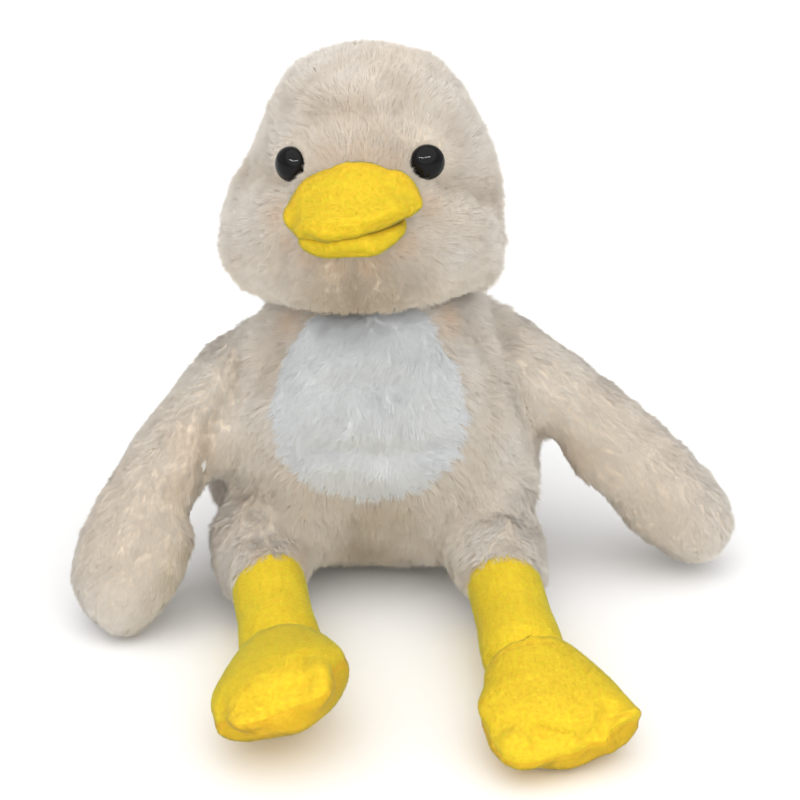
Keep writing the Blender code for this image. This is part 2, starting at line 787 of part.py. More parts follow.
def build_leg(side, hip):
    """A fur thigh with its hem, the velour shank that comes out of it, and their stuffing."""
    forward = (math.pi / 2, 0.0, 0.0)
    cage = thigh_cage(f"thigh_{side}_cage")
    start = SHANK_START - SEAM_GAP
    bore_mesh = drum_mesh("bore", SHANK_RADIUS + SEAM_GAP, start, TOOL_REACH, TURNED_STEPS)
    bore = add_tool(f"hem_bore_{side}_tool", bore_mesh, hip, turn=forward)
    front = box_mesh("front", (-TOOL_REACH, -TOOL_REACH, -TOOL_REACH), (TOOL_REACH, 0.0, TOOL_REACH))
    hem = add_tool(f"hem_end_{side}_tool", front, hip, (0.0, -THIGH_LENGTH, 0.0), (HEM_SLANT, 0.0, 0.0))
    fill_end = add_tool(f"fill_end_{side}_tool", front, hip, (0.0, -start, 0.0))
    thigh = add_piece(f"thigh_{side}_cover", cage, FUR, hip)
    soften(thigh)
    add_wall(thigh, FUR_WALL)
    combine(thigh, [hem, bore], "DIFFERENCE")

    outer = shank_profile(SHANK_RADIUS, SHANK_START, ANKLE_DISTANCE)
    inner = shank_profile(SHANK_RADIUS - VELOUR_WALL, SHANK_START, ANKLE_DISTANCE)
    shank_mesh = profile_mesh("shank_profile", outer + inner[::-1], closed=True)
    shank = add_piece(f"shank_{side}_cover", shank_mesh, VELOUR, hip, turn=forward)
    turn_profile(shank, TURNED_STEPS)

    core_radius = SHANK_RADIUS - VELOUR_WALL - SEAM_GAP
    core_points = shank_profile(core_radius, SHANK_START - CORE_OVERLAP, ANKLE_DISTANCE)
    core_points.append((0.0, SHANK_START - CORE_OVERLAP))
    core_mesh = profile_mesh("core_profile", core_points, closed=False)
    core = add_tool(f"core_{side}_tool", core_mesh, hip, turn=forward)
    turn_profile(core, TURNED_STEPS)
    stuffing = add_piece(f"leg_{side}_stuffing", cage, STUFFING, hip)
    soften(stuffing)
    draw_in(stuffing, FUR_WALL + SEAM_GAP)
    combine(stuffing, [fill_end], "DIFFERENCE")
    combine(stuffing, [core], "UNION")


def build_foot(side, ankle):
    """A foot's top and sole panel and its stuffing, cupped round the end of the shank."""
    cage = foot_cage(f"foot_{side}_cage")
    ball = add_tool(f"ankle_{side}_tool", ball_mesh("ankle", SHANK_RADIUS + SEAM_GAP, TURNED_STEPS), ankle)
    spread = TOOL_REACH * math.tan(math.pi / 2 - ANKLE_SWING)
    cone_mesh = drum_mesh("swing", spread, -TOOL_REACH, 0.0, TURNED_STEPS, far_radius=0.0)
    cone = add_tool(f"swing_{side}_tool", cone_mesh, ankle, turn=(-math.pi / 2, 0.0, 0.0))
    sole_side, top_side = half_tools(f"foot_{side}", 2, ankle)
    for name, panel, finish in (("top", top_side, VELOUR), ("sole", sole_side, VELOUR_SOLE)):
        cover = add_piece(f"foot_{side}_{name}", cage, finish, ankle)
        soften(cover)
        add_wall(cover, VELOUR_WALL)
        combine(cover, [panel, cone], "INTERSECT")
        combine(cover, [ball], "DIFFERENCE")
    stuffing = add_piece(f"foot_{side}_stuffing", cage, STUFFING, ankle)
    soften(stuffing)
    draw_in(stuffing, VELOUR_WALL + SEAM_GAP)
    combine(stuffing, [cone], "INTERSECT")
    combine(stuffing, [ball], "DIFFERENCE")


def build():
    """The whole toy."""
    clear_scene()
    add_collection(PARTS)
    add_collection(TOOLS)
    neck = add_joint("neck", (NECK_SHIFT, 0.0, TORSO_HEIGHT), (0.0, HEAD_ROLL, HEAD_TURN))
    arm_turns = {"left": ARM_LEFT_TURN, "right": math.pi + ARM_RIGHT_TURN}
    leg_turns = {"left": LEG_LEFT_TURN, "right": LEG_RIGHT_TURN}
    foot_turns = {
        "left": (-FOOT_LEFT_PITCH, FOOT_LEFT_ROLL, FOOT_LEFT_TURN),
        "right": (-FOOT_RIGHT_PITCH, FOOT_RIGHT_ROLL, FOOT_RIGHT_TURN),
    }
    shoulders = {}
    hips = {}
    for side, sign in SIDES.items():
        shoulder = (sign * SHOULDER_HALF_SPAN, SHOULDER_BACK, SHOULDER_HEIGHT)
        shoulders[side] = add_joint(f"shoulder_{side}", shoulder, (0.0, 0.0, arm_turns[side]))
        hip = (sign * HIP_HALF_SPAN, -HIP_FORWARD, HIP_HEIGHT)
        hips[side] = add_joint(f"hip_{side}", hip, (LEG_PITCH, 0.0, leg_turns[side]))
    torso_cage = build_torso(hips)
    build_head(neck)
    for side in SIDES:
        build_arm(side, shoulders[side], torso_cage)
        build_leg(side, hips[side])
        ankle = add_joint(f"ankle_{side}", (0.0, -ANKLE_DISTANCE, 0.0), foot_turns[side], hips[side])
        build_foot(side, ankle)


build()
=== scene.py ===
# %% [markdown]
# # A seated plush duck
# A stuffed duck with long beige fur, a white belly patch, glossy eyes and a padded yellow beak and
# feet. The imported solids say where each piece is; this file gives each one its cloth, pile and finish.

# %% Load the solids
import json
import math

import bmesh
import bpy
import numpy as np
from mathutils import Euler, Matrix, Vector, kdtree
from mathutils.bvhtree import BVHTree


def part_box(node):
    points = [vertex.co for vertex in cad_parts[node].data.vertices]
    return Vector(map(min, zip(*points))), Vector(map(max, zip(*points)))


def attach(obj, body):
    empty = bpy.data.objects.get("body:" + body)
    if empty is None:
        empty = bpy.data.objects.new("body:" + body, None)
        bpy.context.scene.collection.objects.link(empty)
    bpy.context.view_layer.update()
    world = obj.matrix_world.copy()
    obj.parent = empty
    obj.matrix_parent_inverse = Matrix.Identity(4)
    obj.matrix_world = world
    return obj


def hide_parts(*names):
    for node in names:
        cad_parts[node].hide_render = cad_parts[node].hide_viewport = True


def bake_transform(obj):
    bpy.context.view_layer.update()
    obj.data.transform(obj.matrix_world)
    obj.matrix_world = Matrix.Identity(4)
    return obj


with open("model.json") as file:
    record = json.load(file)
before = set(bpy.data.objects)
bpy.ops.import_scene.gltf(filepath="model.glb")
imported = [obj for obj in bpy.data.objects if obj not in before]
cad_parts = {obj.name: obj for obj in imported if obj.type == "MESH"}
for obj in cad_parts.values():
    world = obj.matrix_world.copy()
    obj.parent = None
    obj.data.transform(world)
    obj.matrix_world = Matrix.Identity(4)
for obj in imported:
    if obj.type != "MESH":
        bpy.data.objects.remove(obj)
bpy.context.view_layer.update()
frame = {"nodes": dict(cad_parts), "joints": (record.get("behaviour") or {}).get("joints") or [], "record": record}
nodes = frame["nodes"]
SIDES = ("left", "right")
print("solids:", len(nodes))

# %% [markdown]
# ## The view
# A product photograph is taken from a little above, through a long lens that keeps the proportions
# true. The camera could be guessed by eye, but its place here was worked out from the sizes of the
# toy in the picture, so that each piece can be compared where it lies.

# %% Camera
PHOTO_SIDE = 800
FOCAL_PIXELS = 2003.0
CAMERA_PLACE = Vector((0.01148, -0.87508, 0.48958))
LOOK_DOWN = math.radians(25)
SENSOR = 36.0


def link_object(name, data):
    """Put a mesh, a lens or a lamp into the scene."""
    made = bpy.data.objects.new(name, data)
    bpy.context.scene.collection.objects.link(made)
    return made


lens = bpy.data.cameras.new("photo_camera")
lens.sensor_width = SENSOR
lens.lens = FOCAL_PIXELS / PHOTO_SIDE * SENSOR
camera = link_object("photo_camera", lens)
camera.location = CAMERA_PLACE
camera.rotation_euler = (math.pi / 2 - LOOK_DOWN, 0.0, 0.0)
bpy.context.scene.camera = camera
camera_turn = np.array(Euler(camera.rotation_euler).to_matrix())
PICTURE_RIGHT, PICTURE_UP, TOWARD_CAMERA = camera_turn.T


def picture_of(points):
    """Where points show in the photograph, in its pixels, and how far off they lie."""
    local = (points - np.array(CAMERA_PLACE)) @ camera_turn
    depth = -local[:, 2]
    across = PHOTO_SIDE / 2 + FOCAL_PIXELS * local[:, 0] / depth
    down = PHOTO_SIDE / 2 - FOCAL_PIXELS * local[:, 1] / depth
    return np.stack((across, down), axis=1), depth


print("lens:", round(lens.lens, 1), "mm")

# %% [markdown]
# ## Floor and light
# Soft toys are shot in a bright tent: light comes from everywhere, but most from a wide cloth overhead,
# so that chin and belly are darker than the crown. A large pale floor gives the shadow, a plain world
# gives the tent, and a sun with a very wide disc stands for the cloth overhead. Two narrow strips light
# only what is glossy, and show as thin curved lights in the eyes. The camera alone sees the world as
# white beyond the floor.

# %% Floor
FLOOR_HALF = 6.0
FLOOR_COLOR = (0.96, 0.96, 0.96, 1.0)
FLOOR_ROUGHNESS = 0.9


def principled(name):
    """A new material and its Principled shader."""
    made = bpy.data.materials.new(name)
    made.use_nodes = True
    return made, made.node_tree.nodes["Principled BSDF"]


floor_mesh = bpy.data.meshes.new("floor")
half = FLOOR_HALF
floor_mesh.from_pydata(
    [(-half, -half, 0.0), (half, -half, 0.0), (half, half, 0.0), (-half, half, 0.0)], [], [(0, 1, 2, 3)]
)
floor = link_object("floor", floor_mesh)
floor_paper, floor_shader = principled("floor_paper")
floor_shader.inputs["Base Color"].default_value = FLOOR_COLOR
floor_shader.inputs["Roughness"].default_value = FLOOR_ROUGHNESS
floor_mesh.materials.append(floor_paper)

# %% Lights
TENT_LIGHT = 0.56
OVERHEAD_LIGHT = 2.42
BACKGROUND_LIGHT = 1.0
OVERHEAD_WIDTH = math.radians(110)
OVERHEAD_PLACE = Vector((0.03, -0.7, 1.2))
STRIPS = {
    "left_strip": (-0.45, -0.95, 0.90),
    "right_strip": (0.30, -1.00, 0.95),
}
STRIP_SIZE = (0.7, 0.05)
STRIP_POWER = 7.0
LIT_POINT = Vector((0.0, -0.03, 0.13))

world = bpy.data.worlds.new("tent")
bpy.context.scene.world = world
world.use_nodes = True
tent = world.node_tree.nodes["Background"]
tent.inputs["Color"].default_value = (1.0, 1.0, 1.0, 1.0)
seen = world.node_tree.nodes.new("ShaderNodeLightPath").outputs["Is Camera Ray"]
strength = world.node_tree.nodes.new("ShaderNodeMapRange")
strength.inputs["To Min"].default_value = TENT_LIGHT
strength.inputs["To Max"].default_value = BACKGROUND_LIGHT
world.node_tree.links.new(seen, strength.inputs["Value"])
world.node_tree.links.new(strength.outputs["Result"], tent.inputs["Strength"])


def hang_lamp(name, kind, place):
    """A lamp that looks at the toy."""
    holder = link_object(name, bpy.data.lights.new(name, kind))
    holder.location = place
    holder.rotation_euler = (LIT_POINT - Vector(place)).to_track_quat("-Z", "Y").to_euler()
    return holder


overhead = hang_lamp("overhead_cloth", "SUN", OVERHEAD_PLACE)
overhead.data.energy = OVERHEAD_LIGHT
overhead.data.angle = OVERHEAD_WIDTH
for name, place in STRIPS.items():
    strip = hang_lamp(name, "AREA", place)
    strip.data.shape = "RECTANGLE"
    strip.data.size, strip.data.size_y = STRIP_SIZE
    strip.data.energy = STRIP_POWER
    strip.visible_diffuse = False
bpy.context.scene.view_settings.view_transform = "Standard"
print("lamps:", 1 + len(STRIPS))

# %% [markdown]
# ## Stuffed forms
# Every limb is a cloth bag pressed out by loose fiber. A sculpted shape could be smoothed by hand, but
# here each bag starts from the limb's own stuffing solid: it is remeshed to even cells, and Cloth with
# pressure and no gravity lets it swell as a real bag does. The cloth may also stretch a little, as
# knitted cloth does when it is stuffed. A cap on how far a point may move keeps each limb clear of
# its neighbors.

# %% Helpers for stuffed forms
FUR_CELL = 0.0042
SWELL_FRAMES = 20
PRESSURE = 4.0
STRETCH = 0.03
TINY = 1e-9


def mesh_of(name, shape):
    """A mesh from what was edited, which is then let go."""
    mesh = bpy.data.meshes.new(name)
    shape.to_mesh(mesh)
    shape.free()
    return mesh


def joined_copy(name, node_names):
    """One mesh from copies of several solids."""
    shape = bmesh.new()
    for node in node_names:
        shape.from_mesh(nodes[node].data)
    return link_object(name, mesh_of(name, shape))


def points_of(mesh):
    """Vertex places as an array."""
    flat = np.empty(len(mesh.vertices) * 3)
    mesh.vertices.foreach_get("co", flat)
    return flat.reshape(-1, 3)


def normals_of(mesh):
    """Vertex normals as an array."""
    flat = np.empty(len(mesh.vertices) * 3)
    mesh.vertex_normals.foreach_get("vector", flat)
    return flat.reshape(-1, 3)


def move_points(mesh, points):
    """Put the vertices at these places."""
    mesh.vertices.foreach_set("co", points.ravel())
    mesh.update()


def raise_cloth(item, height):
    """Move the cloth out along its normals, by one height or by one for each point."""
    rise = np.broadcast_to(height, len(item.data.vertices))
    move_points(item.data, points_of(item.data) + normals_of(item.data) * rise[:, None])


def with_settings(made, settings):
    """Give a modifier or a node its settings."""
    for name, value in settings.items():
        setattr(made, name, value)
    return made


def add_modifier(item, kind, **settings):
    """A modifier with its settings."""
    return with_settings(item.modifiers.new(kind.title(), kind), settings)


def apply_all(item):
    """Keep what the modifiers made, and drop them."""
    graph = bpy.context.evaluated_depsgraph_get()
    mesh = bpy.data.meshes.new_from_object(item.evaluated_get(graph))
    item.modifiers.clear()
    item.data = mesh


def smooth_form(item, iterations):
    """Even out small steps."""
    add_modifier(item, "SMOOTH", factor=0.5, iterations=iterations)
    apply_all(item)


def remesh(item, cell, smoothing):
    """Grow the solids together into even cells, and smooth their facets away."""
    add_modifier(item, "REMESH", mode="VOXEL", voxel_size=cell)
    smooth_form(item, smoothing)


def swell(item, cap):
    """Let pressure round the bag, and hold every point within the cap of its start."""
    start = points_of(item.data)
    cloth = add_modifier(item, "CLOTH").settings
    cloth.use_pressure = True
    cloth.uniform_pressure_force = PRESSURE
    cloth.shrink_min = -STRETCH
    cloth.shrink_max = -STRETCH
    cloth.effector_weights.gravity = 0.0
    for number in range(1, SWELL_FRAMES + 1):
        bpy.context.scene.frame_set(number)
    apply_all(item)
    bpy.context.scene.frame_set(1)
    moved = points_of(item.data) - start
    length = np.linalg.norm(moved, axis=1, keepdims=True)
    moved *= np.minimum(1.0, cap / np.maximum(length, TINY))
    move_points(item.data, start + moved)


def stuff(item, cap):
    """Swell a form, and give it finer cells for seams and folds."""
    swell(item, cap)
    add_modifier(item, "SUBSURF", levels=1, render_levels=1)
    apply_all(item)
    print("form", item.name, len(item.data.polygons), "faces")


def keep_largest(item):
    """Drop what lies loose inside a form, such as the pocket behind an eye."""
    shape = bmesh.new()
    shape.from_mesh(item.data)
    left = set(shape.verts)
    groups = []
    while left:
        group = {left.pop()}
        edge_of_group = list(group)
        while edge_of_group:
            corner = edge_of_group.pop()
            for edge in corner.link_edges:
                other = edge.other_vert(corner)
                if other in left:
                    left.discard(other)
                    group.add(other)
                    edge_of_group.append(other)
        groups.append(group)
    largest = max(groups, key=len)
    loose = [corner for corner in shape.verts if corner not in largest]
    bmesh.ops.delete(shape, geom=loose, context="VERTS")
    shape.to_mesh(item.data)
    shape.free()


def tree_of(mesh):
    """A search tree over a mesh."""
    mesh.calc_loop_triangles()
    points = [vertex.co.copy() for vertex in mesh.vertices]
    return BVHTree.FromPolygons(points, [tuple(face.vertices) for face in mesh.loop_triangles])


def ease(values):
    """Smooth steps from 0 to 1."""
    held = np.clip(values, 0.0, 1.0)
    return held * held * (3 - 2 * held)


def gaps_to(points, trees, reach):
    """The distance from each point to the nearest of these solids, at most the reach."""
    gaps = np.full(len(points), reach)
    for index, point in enumerate(points):
        for tree in trees:
            gap = tree.find_nearest(point, gaps[index])[3]
            if gap is not None:
                gaps[index] = gap
    return gaps


# %% [markdown]
# ## Shaping
# A stuffed form is never even. Loose fiber pushes it out here and leaves it slack there, and thread
# pulls a crease where panels meet. The forms could be sculpted by hand, but then the strokes couldn't
# be repeated. Here each stroke is a place in the photograph and a size: a pull moves cloth across the
# picture, a puff raises it, and a fold presses a line in and marks it with painted shade, so that its
# pile is darker there. Spots of the same painted shade darken hollows such as the chin and the crotch.
# A second kind of mark is painted warm bounce light beside yellow cloth, and painted warm shade in
# creases such as those by the arms and under the head.

# %% Pulls, puffs and folds
FACING = 0.05
PICK_SLACK = 2.5
FOLD_STEP = 2.0
RIDGE_SHARE = 0.12
RIDGE_PLACE = 1.8
RIDGE_WIDTH = 0.8
FADE_SLOPE = 3
FADE_START = 0.6
WAVES = 6
WAVE_SWAY = 1.3
SWAY_PACE = 2.1
WAVE_GAIN = 1.8


def smooth_noise(points, size, seed):
    """Soft random waves of about this size, one number in -1..1 for each point."""
    waves = np.random.default_rng(seed)
    total = np.zeros(len(points))
    for _ in range(WAVES):
        direction = waves.normal(size=3)
        direction /= np.linalg.norm(direction)
        bend = waves.normal(size=3)
        bend /= np.linalg.norm(bend)
        phase = waves.random() * math.tau
        step = points @ direction / size * math.pi
        sway = np.sin(points @ bend / size * SWAY_PACE)
        total += np.sin(step + phase + WAVE_SWAY * sway)
    return total / WAVES * WAVE_GAIN


def picked(points, normals, pixel):
    """The index of the point that shows at a pixel, or nearest to it."""
    shown, depth = picture_of(points)
    off = np.linalg.norm(shown - np.array(pixel), axis=1)
    off[normals @ TOWARD_CAMERA < FACING] += PHOTO_SIDE
    near = np.flatnonzero(off < off.min() + PICK_SLACK)
    return near[np.argmin(depth[near])]


def pull(item, strokes):
    """Move cloth across the picture, from one pixel to another, over a reach in metres."""
    for source, target, reach in strokes:
        points = points_of(item.data)
        index = picked(points, normals_of(item.data), source)
        pixel_size = picture_of(points[index : index + 1])[1][0] / FOCAL_PIXELS
        right, down = np.array(target) - np.array(source)
        shift = (PICTURE_RIGHT * right - PICTURE_UP * down) * pixel_size
        away = np.linalg.norm(points - points[index], axis=1)
        move_points(item.data, points + ease(1 - away / reach)[:, None] * shift)


def puff(item, strokes):
    """Raise the cloth at a pixel by a height over a reach, or let it sink by a negative height."""
    for pixel, reach, rise in strokes:
        points = points_of(item.data)
        normals = normals_of(item.data)
        index = picked(points, normals, pixel)
        away = np.linalg.norm(points - points[index], axis=1)
        share = ease(1 - away / reach) * np.clip(normals @ normals[index], 0.0, 1.0)
        raise_cloth(item, rise * share)


def mark(item, name, values):
    """Keep the larger of each point's mark and its new value."""
    attribute = item.data.attributes.get(name) or item.data.attributes.new(name, "FLOAT", "POINT")
    before = np.empty(len(values), dtype=np.float32)
    attribute.data.foreach_get("value", before)
    attribute.data.foreach_set("value", np.maximum(before, values).astype(np.float32))


def along_line(line):
    """Pixels at even steps along a line of a few pixels."""
    steps = [np.array(line[0], dtype=float)]
    for first, second in zip(line, line[1:]):
        run = np.array(second, dtype=float) - np.array(first)
        count = max(1, int(np.linalg.norm(run) / FOLD_STEP))
        steps += [np.array(first) + run * step / count for step in range(1, count + 1)]
    return steps


def fold(item, strokes):
    """Press lines of a width and depth into the cloth, and mark them with a share of painted shade."""
    for line, width, depth, shading_tint in strokes:
        points = points_of(item.data)
        normals = normals_of(item.data)
        line_points = [points[picked(points, normals, pixel)] for pixel in along_line(line)]
        tree = kdtree.KDTree(len(line_points))
        for index, point in enumerate(line_points):
            tree.insert(point, index)
        tree.balance()
        away = np.array([tree.find(point)[2] for point in points]) / width
        pressed = np.exp(-(away**2))
        beside = np.exp(-(((away - RIDGE_PLACE) / RIDGE_WIDTH) ** 2))
        facing = np.clip(normals @ TOWARD_CAMERA * FADE_SLOPE + FADE_START, 0.0, 1.0)
        raise_cloth(item, (RIDGE_SHARE * beside - pressed) * depth * facing)
        mark(item, "crease_shade", pressed * shading_tint * facing)


def shading_tint(item, strokes, name="crease_shade"):
    """Mark spots of painted shading, each a pixel, a reach and a share."""
    for pixel, reach, share in strokes:
        points = points_of(item.data)
        index = picked(points, normals_of(item.data), pixel)
        away = np.linalg.norm(points - points[index], axis=1)
        mark(item, name, ease(1 - away / reach) * share)


def lumps(item, size, height, seed):
    """Uneven stuffing, as soft lumps of about this size."""
    raise_cloth(item, height * smooth_noise(points_of(item.data), size, seed))


def shape_form(item, pulls, unevenness, puffs, folds, shade_spots, warm_bounce_and_shade_spots):
    """All the strokes for one form of fur."""
    pull(item, pulls)
    for size, height, seed in unevenness:
        lumps(item, size, height, seed)
    puff(item, puffs)
    fold(item, folds)
    shading_tint(item, shade_spots)
    shading_tint(item, warm_bounce_and_shade_spots, "warm_bounce_and_shade")


# %% [markdown]
# ## The body under the fur
# Arms and thighs are sewn to the body, so that no gap shows between them. Body and limbs are therefore
# grown into one form: it is swollen until the gaps close, remeshed, and drawn in again to leave room for
# the pile. Panels are cut from it afterwards. The head stays a form of its own, because it sits on the
# neck and hangs over it.

# %% Forms under the fur
FUR_SWELL = 0.0020
ARM_CLOSING = 0.0015
LEG_CLOSING = 0.0100
HEAD_CLOSING = 0.0050
PILE_ROOM = 0.0058
PATCH_ROOM = 0.0050
ARM_ROOM = 0.0038
HEM_ROOM = 0.0034
HEM_REACH = 0.012
HEAD_ROOM = 0.0052
ROOM_STEPS = 3
FIRST_SMOOTHING = 5
FORM_SMOOTHING = 3
EYE_BED_RADIUS = 0.015
EYE_BED_RISE = 0.0036
TORSO_COVERS = ("torso_cover_front_left", "torso_cover_front_right", "torso_cover_back", "belly_patch")
HEAD_COVERS = ("head_cover_front_left", "head_cover_front_right", "head_cover_back")
ARM_COVERS = tuple(f"arm_{side}_cover_{half}" for side in SIDES for half in ("front", "back"))
THIGH_COVERS = tuple(f"thigh_{side}_cover" for side in SIDES)
SHANK_COVERS = tuple(f"shank_{side}_cover" for side in SIDES)
ARM_FILLINGS = tuple(f"arm_{side}_stuffing" for side in SIDES)
LEG_FILLINGS = tuple(f"leg_{side}_stuffing" for side in SIDES)


def close_gaps(item, closing):
    """Swell until gaps narrower than twice the closing are shut, then come back."""
    raise_cloth(item, closing)
    remesh(item, FUR_CELL, FORM_SMOOTHING)
    keep_largest(item)
    raise_cloth(item, -closing)
    smooth_form(item, 1)


def draw_in(item, room_at):
    """Draw the cloth in by its room for pile, in small steps so that no corner turns over."""
    room = room_at(points_of(item.data))[:, None]
    for _ in range(ROOM_STEPS):
        move_points(item.data, points_of(item.data) - normals_of(item.data) * room / ROOM_STEPS)
        smooth_form(item, 1)


def fur_form(name, groups, room_at):
    """One stuffed form from groups of solids. Each is closed alone, so that hand and thigh stay apart."""
    shape = bmesh.new()
    for group, closing in groups:
        item = joined_copy(name, group)
        remesh(item, FUR_CELL, FIRST_SMOOTHING)
        keep_largest(item)
        close_gaps(item, closing)
        draw_in(item, room_at)
        shape.from_mesh(item.data)
        bpy.data.objects.remove(item)
    item = link_object(name, mesh_of(name, shape))
    remesh(item, FUR_CELL, FORM_SMOOTHING)
    keep_largest(item)
    stuff(item, FUR_SWELL)
    return item


def room_on_body(points):
    """Less room where the pile is shorter, and least at the neck and the thighs' hems."""
    room = np.full(len(points), PILE_ROOM)
    for covers, reach, smaller in (
        (("belly_patch",), PILE_ROOM, PATCH_ROOM),
        (ARM_COVERS, PILE_ROOM, ARM_ROOM),
        ((*SHANK_COVERS, *HEAD_COVERS), HEM_REACH, HEM_ROOM),
    ):
        trees = [tree_of(nodes[cover].data) for cover in covers]
        near = ease(1.0 - gaps_to(points, trees, reach) / reach)
        room += (smaller - room) * near
    return room


def room_on_head(points):
    """Hardly any room behind the eyes, which press the pile flat."""
    room = np.full(len(points), HEAD_ROOM)
    for side in SIDES:
        low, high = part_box(f"eye_{side}")
        away = np.linalg.norm(points - np.array((low + high) / 2), axis=1)
        room -= EYE_BED_RISE * ease(2 - 2 * away / EYE_BED_RADIUS)
    return room


arm_group = (*TORSO_COVERS, "torso_stuffing", *ARM_COVERS, *ARM_FILLINGS)
leg_group = (*TORSO_COVERS, "torso_stuffing", *THIGH_COVERS, *LEG_FILLINGS)
head_group = (*HEAD_COVERS, "head_stuffing", "eye_washer_left", "eye_washer_right")
body = fur_form("body_form", ((arm_group, ARM_CLOSING), (leg_group, LEG_CLOSING)), room_on_body)
head = fur_form("head_form", ((head_group, HEAD_CLOSING),), room_on_head)

# %% Shape the body
BODY_LUMPS = ((0.024, 0.0007, 21), (0.010, 0.0004, 22))
BODY_PULLS = (
    ((185, 450), (177, 450), 0.050),
    ((130, 560), (124, 562), 0.065),
    ((112, 611), (120, 627), 0.045),
    ((548, 455), (542, 443), 0.020),
    ((577, 456), (571, 462), 0.028),
    ((606, 484), (598, 491), 0.030),
    ((640, 526), (633, 533), 0.028),
    ((178, 566), (187, 567), 0.030),
    ((194, 505), (187, 505), 0.022),
    ((505, 318), (507, 304), 0.036),
    ((203, 474), (209, 460), 0.018),
    ((196, 540), (203, 536), 0.020),
)
BODY_PUFFS = (
    ((365, 418), 0.026, 0.0016),
    ((365, 352), 0.024, 0.0010),
    ((245, 515), 0.020, 0.0014),
    ((500, 520), 0.020, 0.0014),
    ((523, 492), 0.024, 0.0046),
    ((216, 492), 0.018, 0.0030),
    ((512, 522), 0.010, 0.0016),
    ((160, 560), 0.036, 0.0030),
)
# Each fold is a line, a width, a depth and a share of painted shade.
BODY_FOLDS = (
    (((240, 484), (258, 488), (276, 507), (292, 530), (310, 548)), 0.0065, 0.0028, 0.55),
    (((470, 504), (448, 518), (432, 548)), 0.0065, 0.0024, 0.30),
    (((241, 352), (233, 380), (221, 405), (214, 433), (210, 458), (212, 478)), 0.0045, 0.0026, 0.50),
    (((497, 318), (506, 360), (516, 400), (534, 434)), 0.0060, 0.0022, 0.25),
    (((324, 387), (350, 383), (402, 386)), 0.0060, 0.0026, 0.10),
    (((322, 449), (380, 453), (450, 449)), 0.0060, 0.0026, 0.10),
    (((287, 318), (284, 342), (268, 380)), 0.0070, 0.0018, 0.30),
    (((462, 318), (478, 345), (492, 392)), 0.0070, 0.0018, 0.30),
    (((353, 520), (354, 545)), 0.0045, 0.0018, 0.40),
)
# Spots of painted shade: strongest in the crotch, weaker by the thighs, the armpits and over the arms.
BODY_SHADE_SPOTS = (
    ((365, 552), 0.034, 0.95),
    ((300, 505), 0.034, 0.45),
    ((365, 520), 0.050, 0.50),
    ((196, 430), 0.026, 0.20),
    ((555, 455), 0.030, 0.20),
    ((165, 440), 0.050, 0.16),
    ((115, 560), 0.050, 0.20),
    ((610, 440), 0.050, 0.14),
    ((690, 510), 0.045, 0.20),
)
# Painted warm bounce light just above the shanks, and painted warm shade under the head, by the armpits and more
# weakly on the sides.
BODY_WARM_BOUNCE_AND_SHADE = (
    ((297, 318), 0.012, 0.70),
    ((441, 314), 0.012, 0.70),
    ((196, 440), 0.024, 0.40),
    ((190, 480), 0.024, 0.30),
    ((560, 450), 0.034, 0.30),
    ((150, 500), 0.060, 0.16),
    ((640, 460), 0.060, 0.14),
    ((262, 553), 0.011, 0.55),
    ((298, 553), 0.011, 0.55),
    ((478, 570), 0.011, 0.55),
    ((514, 564), 0.011, 0.55),
)
shape_form(body, BODY_PULLS, BODY_LUMPS, BODY_PUFFS, BODY_FOLDS, BODY_SHADE_SPOTS, BODY_WARM_BOUNCE_AND_SHADE)

# %% Shape the head
HEAD_LUMPS = ((0.020, 0.0006, 31), (0.009, 0.0004, 32))
HEAD_PULLS = (
    ((306, 68), (297, 67), 0.030),
    ((243, 158), (250, 158), 0.030),
    ((232, 230), (229, 232), 0.025),
    ((494, 159), (499, 159), 0.030),
    ((481, 127), (485, 127), 0.025),
    ((476, 287), (491, 286), 0.022),
    ((501, 222), (493, 222), 0.010),
    ((504, 243), (507, 243), 0.012),
    ((300, 300), (300, 306), 0.036),
    ((355, 303), (355, 309), 0.036),
    ((415, 302), (415, 308), 0.036),
)
HEAD_PUFFS = (
    ((340, 98), 0.018, 0.0024),
    ((262, 215), 0.022, 0.0024),
    ((462, 228), 0.022, 0.0024),
    ((320, 285), 0.016, 0.0020),
    ((390, 285), 0.016, 0.0020),
    ((290, 112), 0.012, -0.0018),
    ((422, 120), 0.012, -0.0018),
    ((402, 92), 0.014, -0.0012),
)
# Each fold is a line, a width, a depth and a share of painted shade.
HEAD_FOLDS = (
    (((317, 118), (340, 113), (362, 112)), 0.0055, 0.0024, 0.35),
    (((396, 88), (403, 91), (402, 104), (399, 118)), 0.0055, 0.0018, 0.30),
    (((441, 184), (468, 190), (497, 204)), 0.0055, 0.0032, 0.45),
    (((240, 170), (260, 173), (280, 180)), 0.0055, 0.0032, 0.40),
    (((288, 242), (283, 260), (285, 280)), 0.0055, 0.0026, 0.20),
    (((414, 261), (419, 280), (418, 302)), 0.0055, 0.0026, 0.20),
    (((354, 268), (355, 285), (356, 306)), 0.0045, 0.0024, 0.20),
)
# Spots of painted shade on the chin under the beak, and weakly on the forehead.
HEAD_SHADE_SPOTS = (
    ((395, 140), 0.030, 0.15),
    ((350, 285), 0.050, 0.60),
    ((330, 292), 0.030, 0.90),
    ((385, 292), 0.030, 0.90),
    ((355, 298), 0.045, 1.00),
)
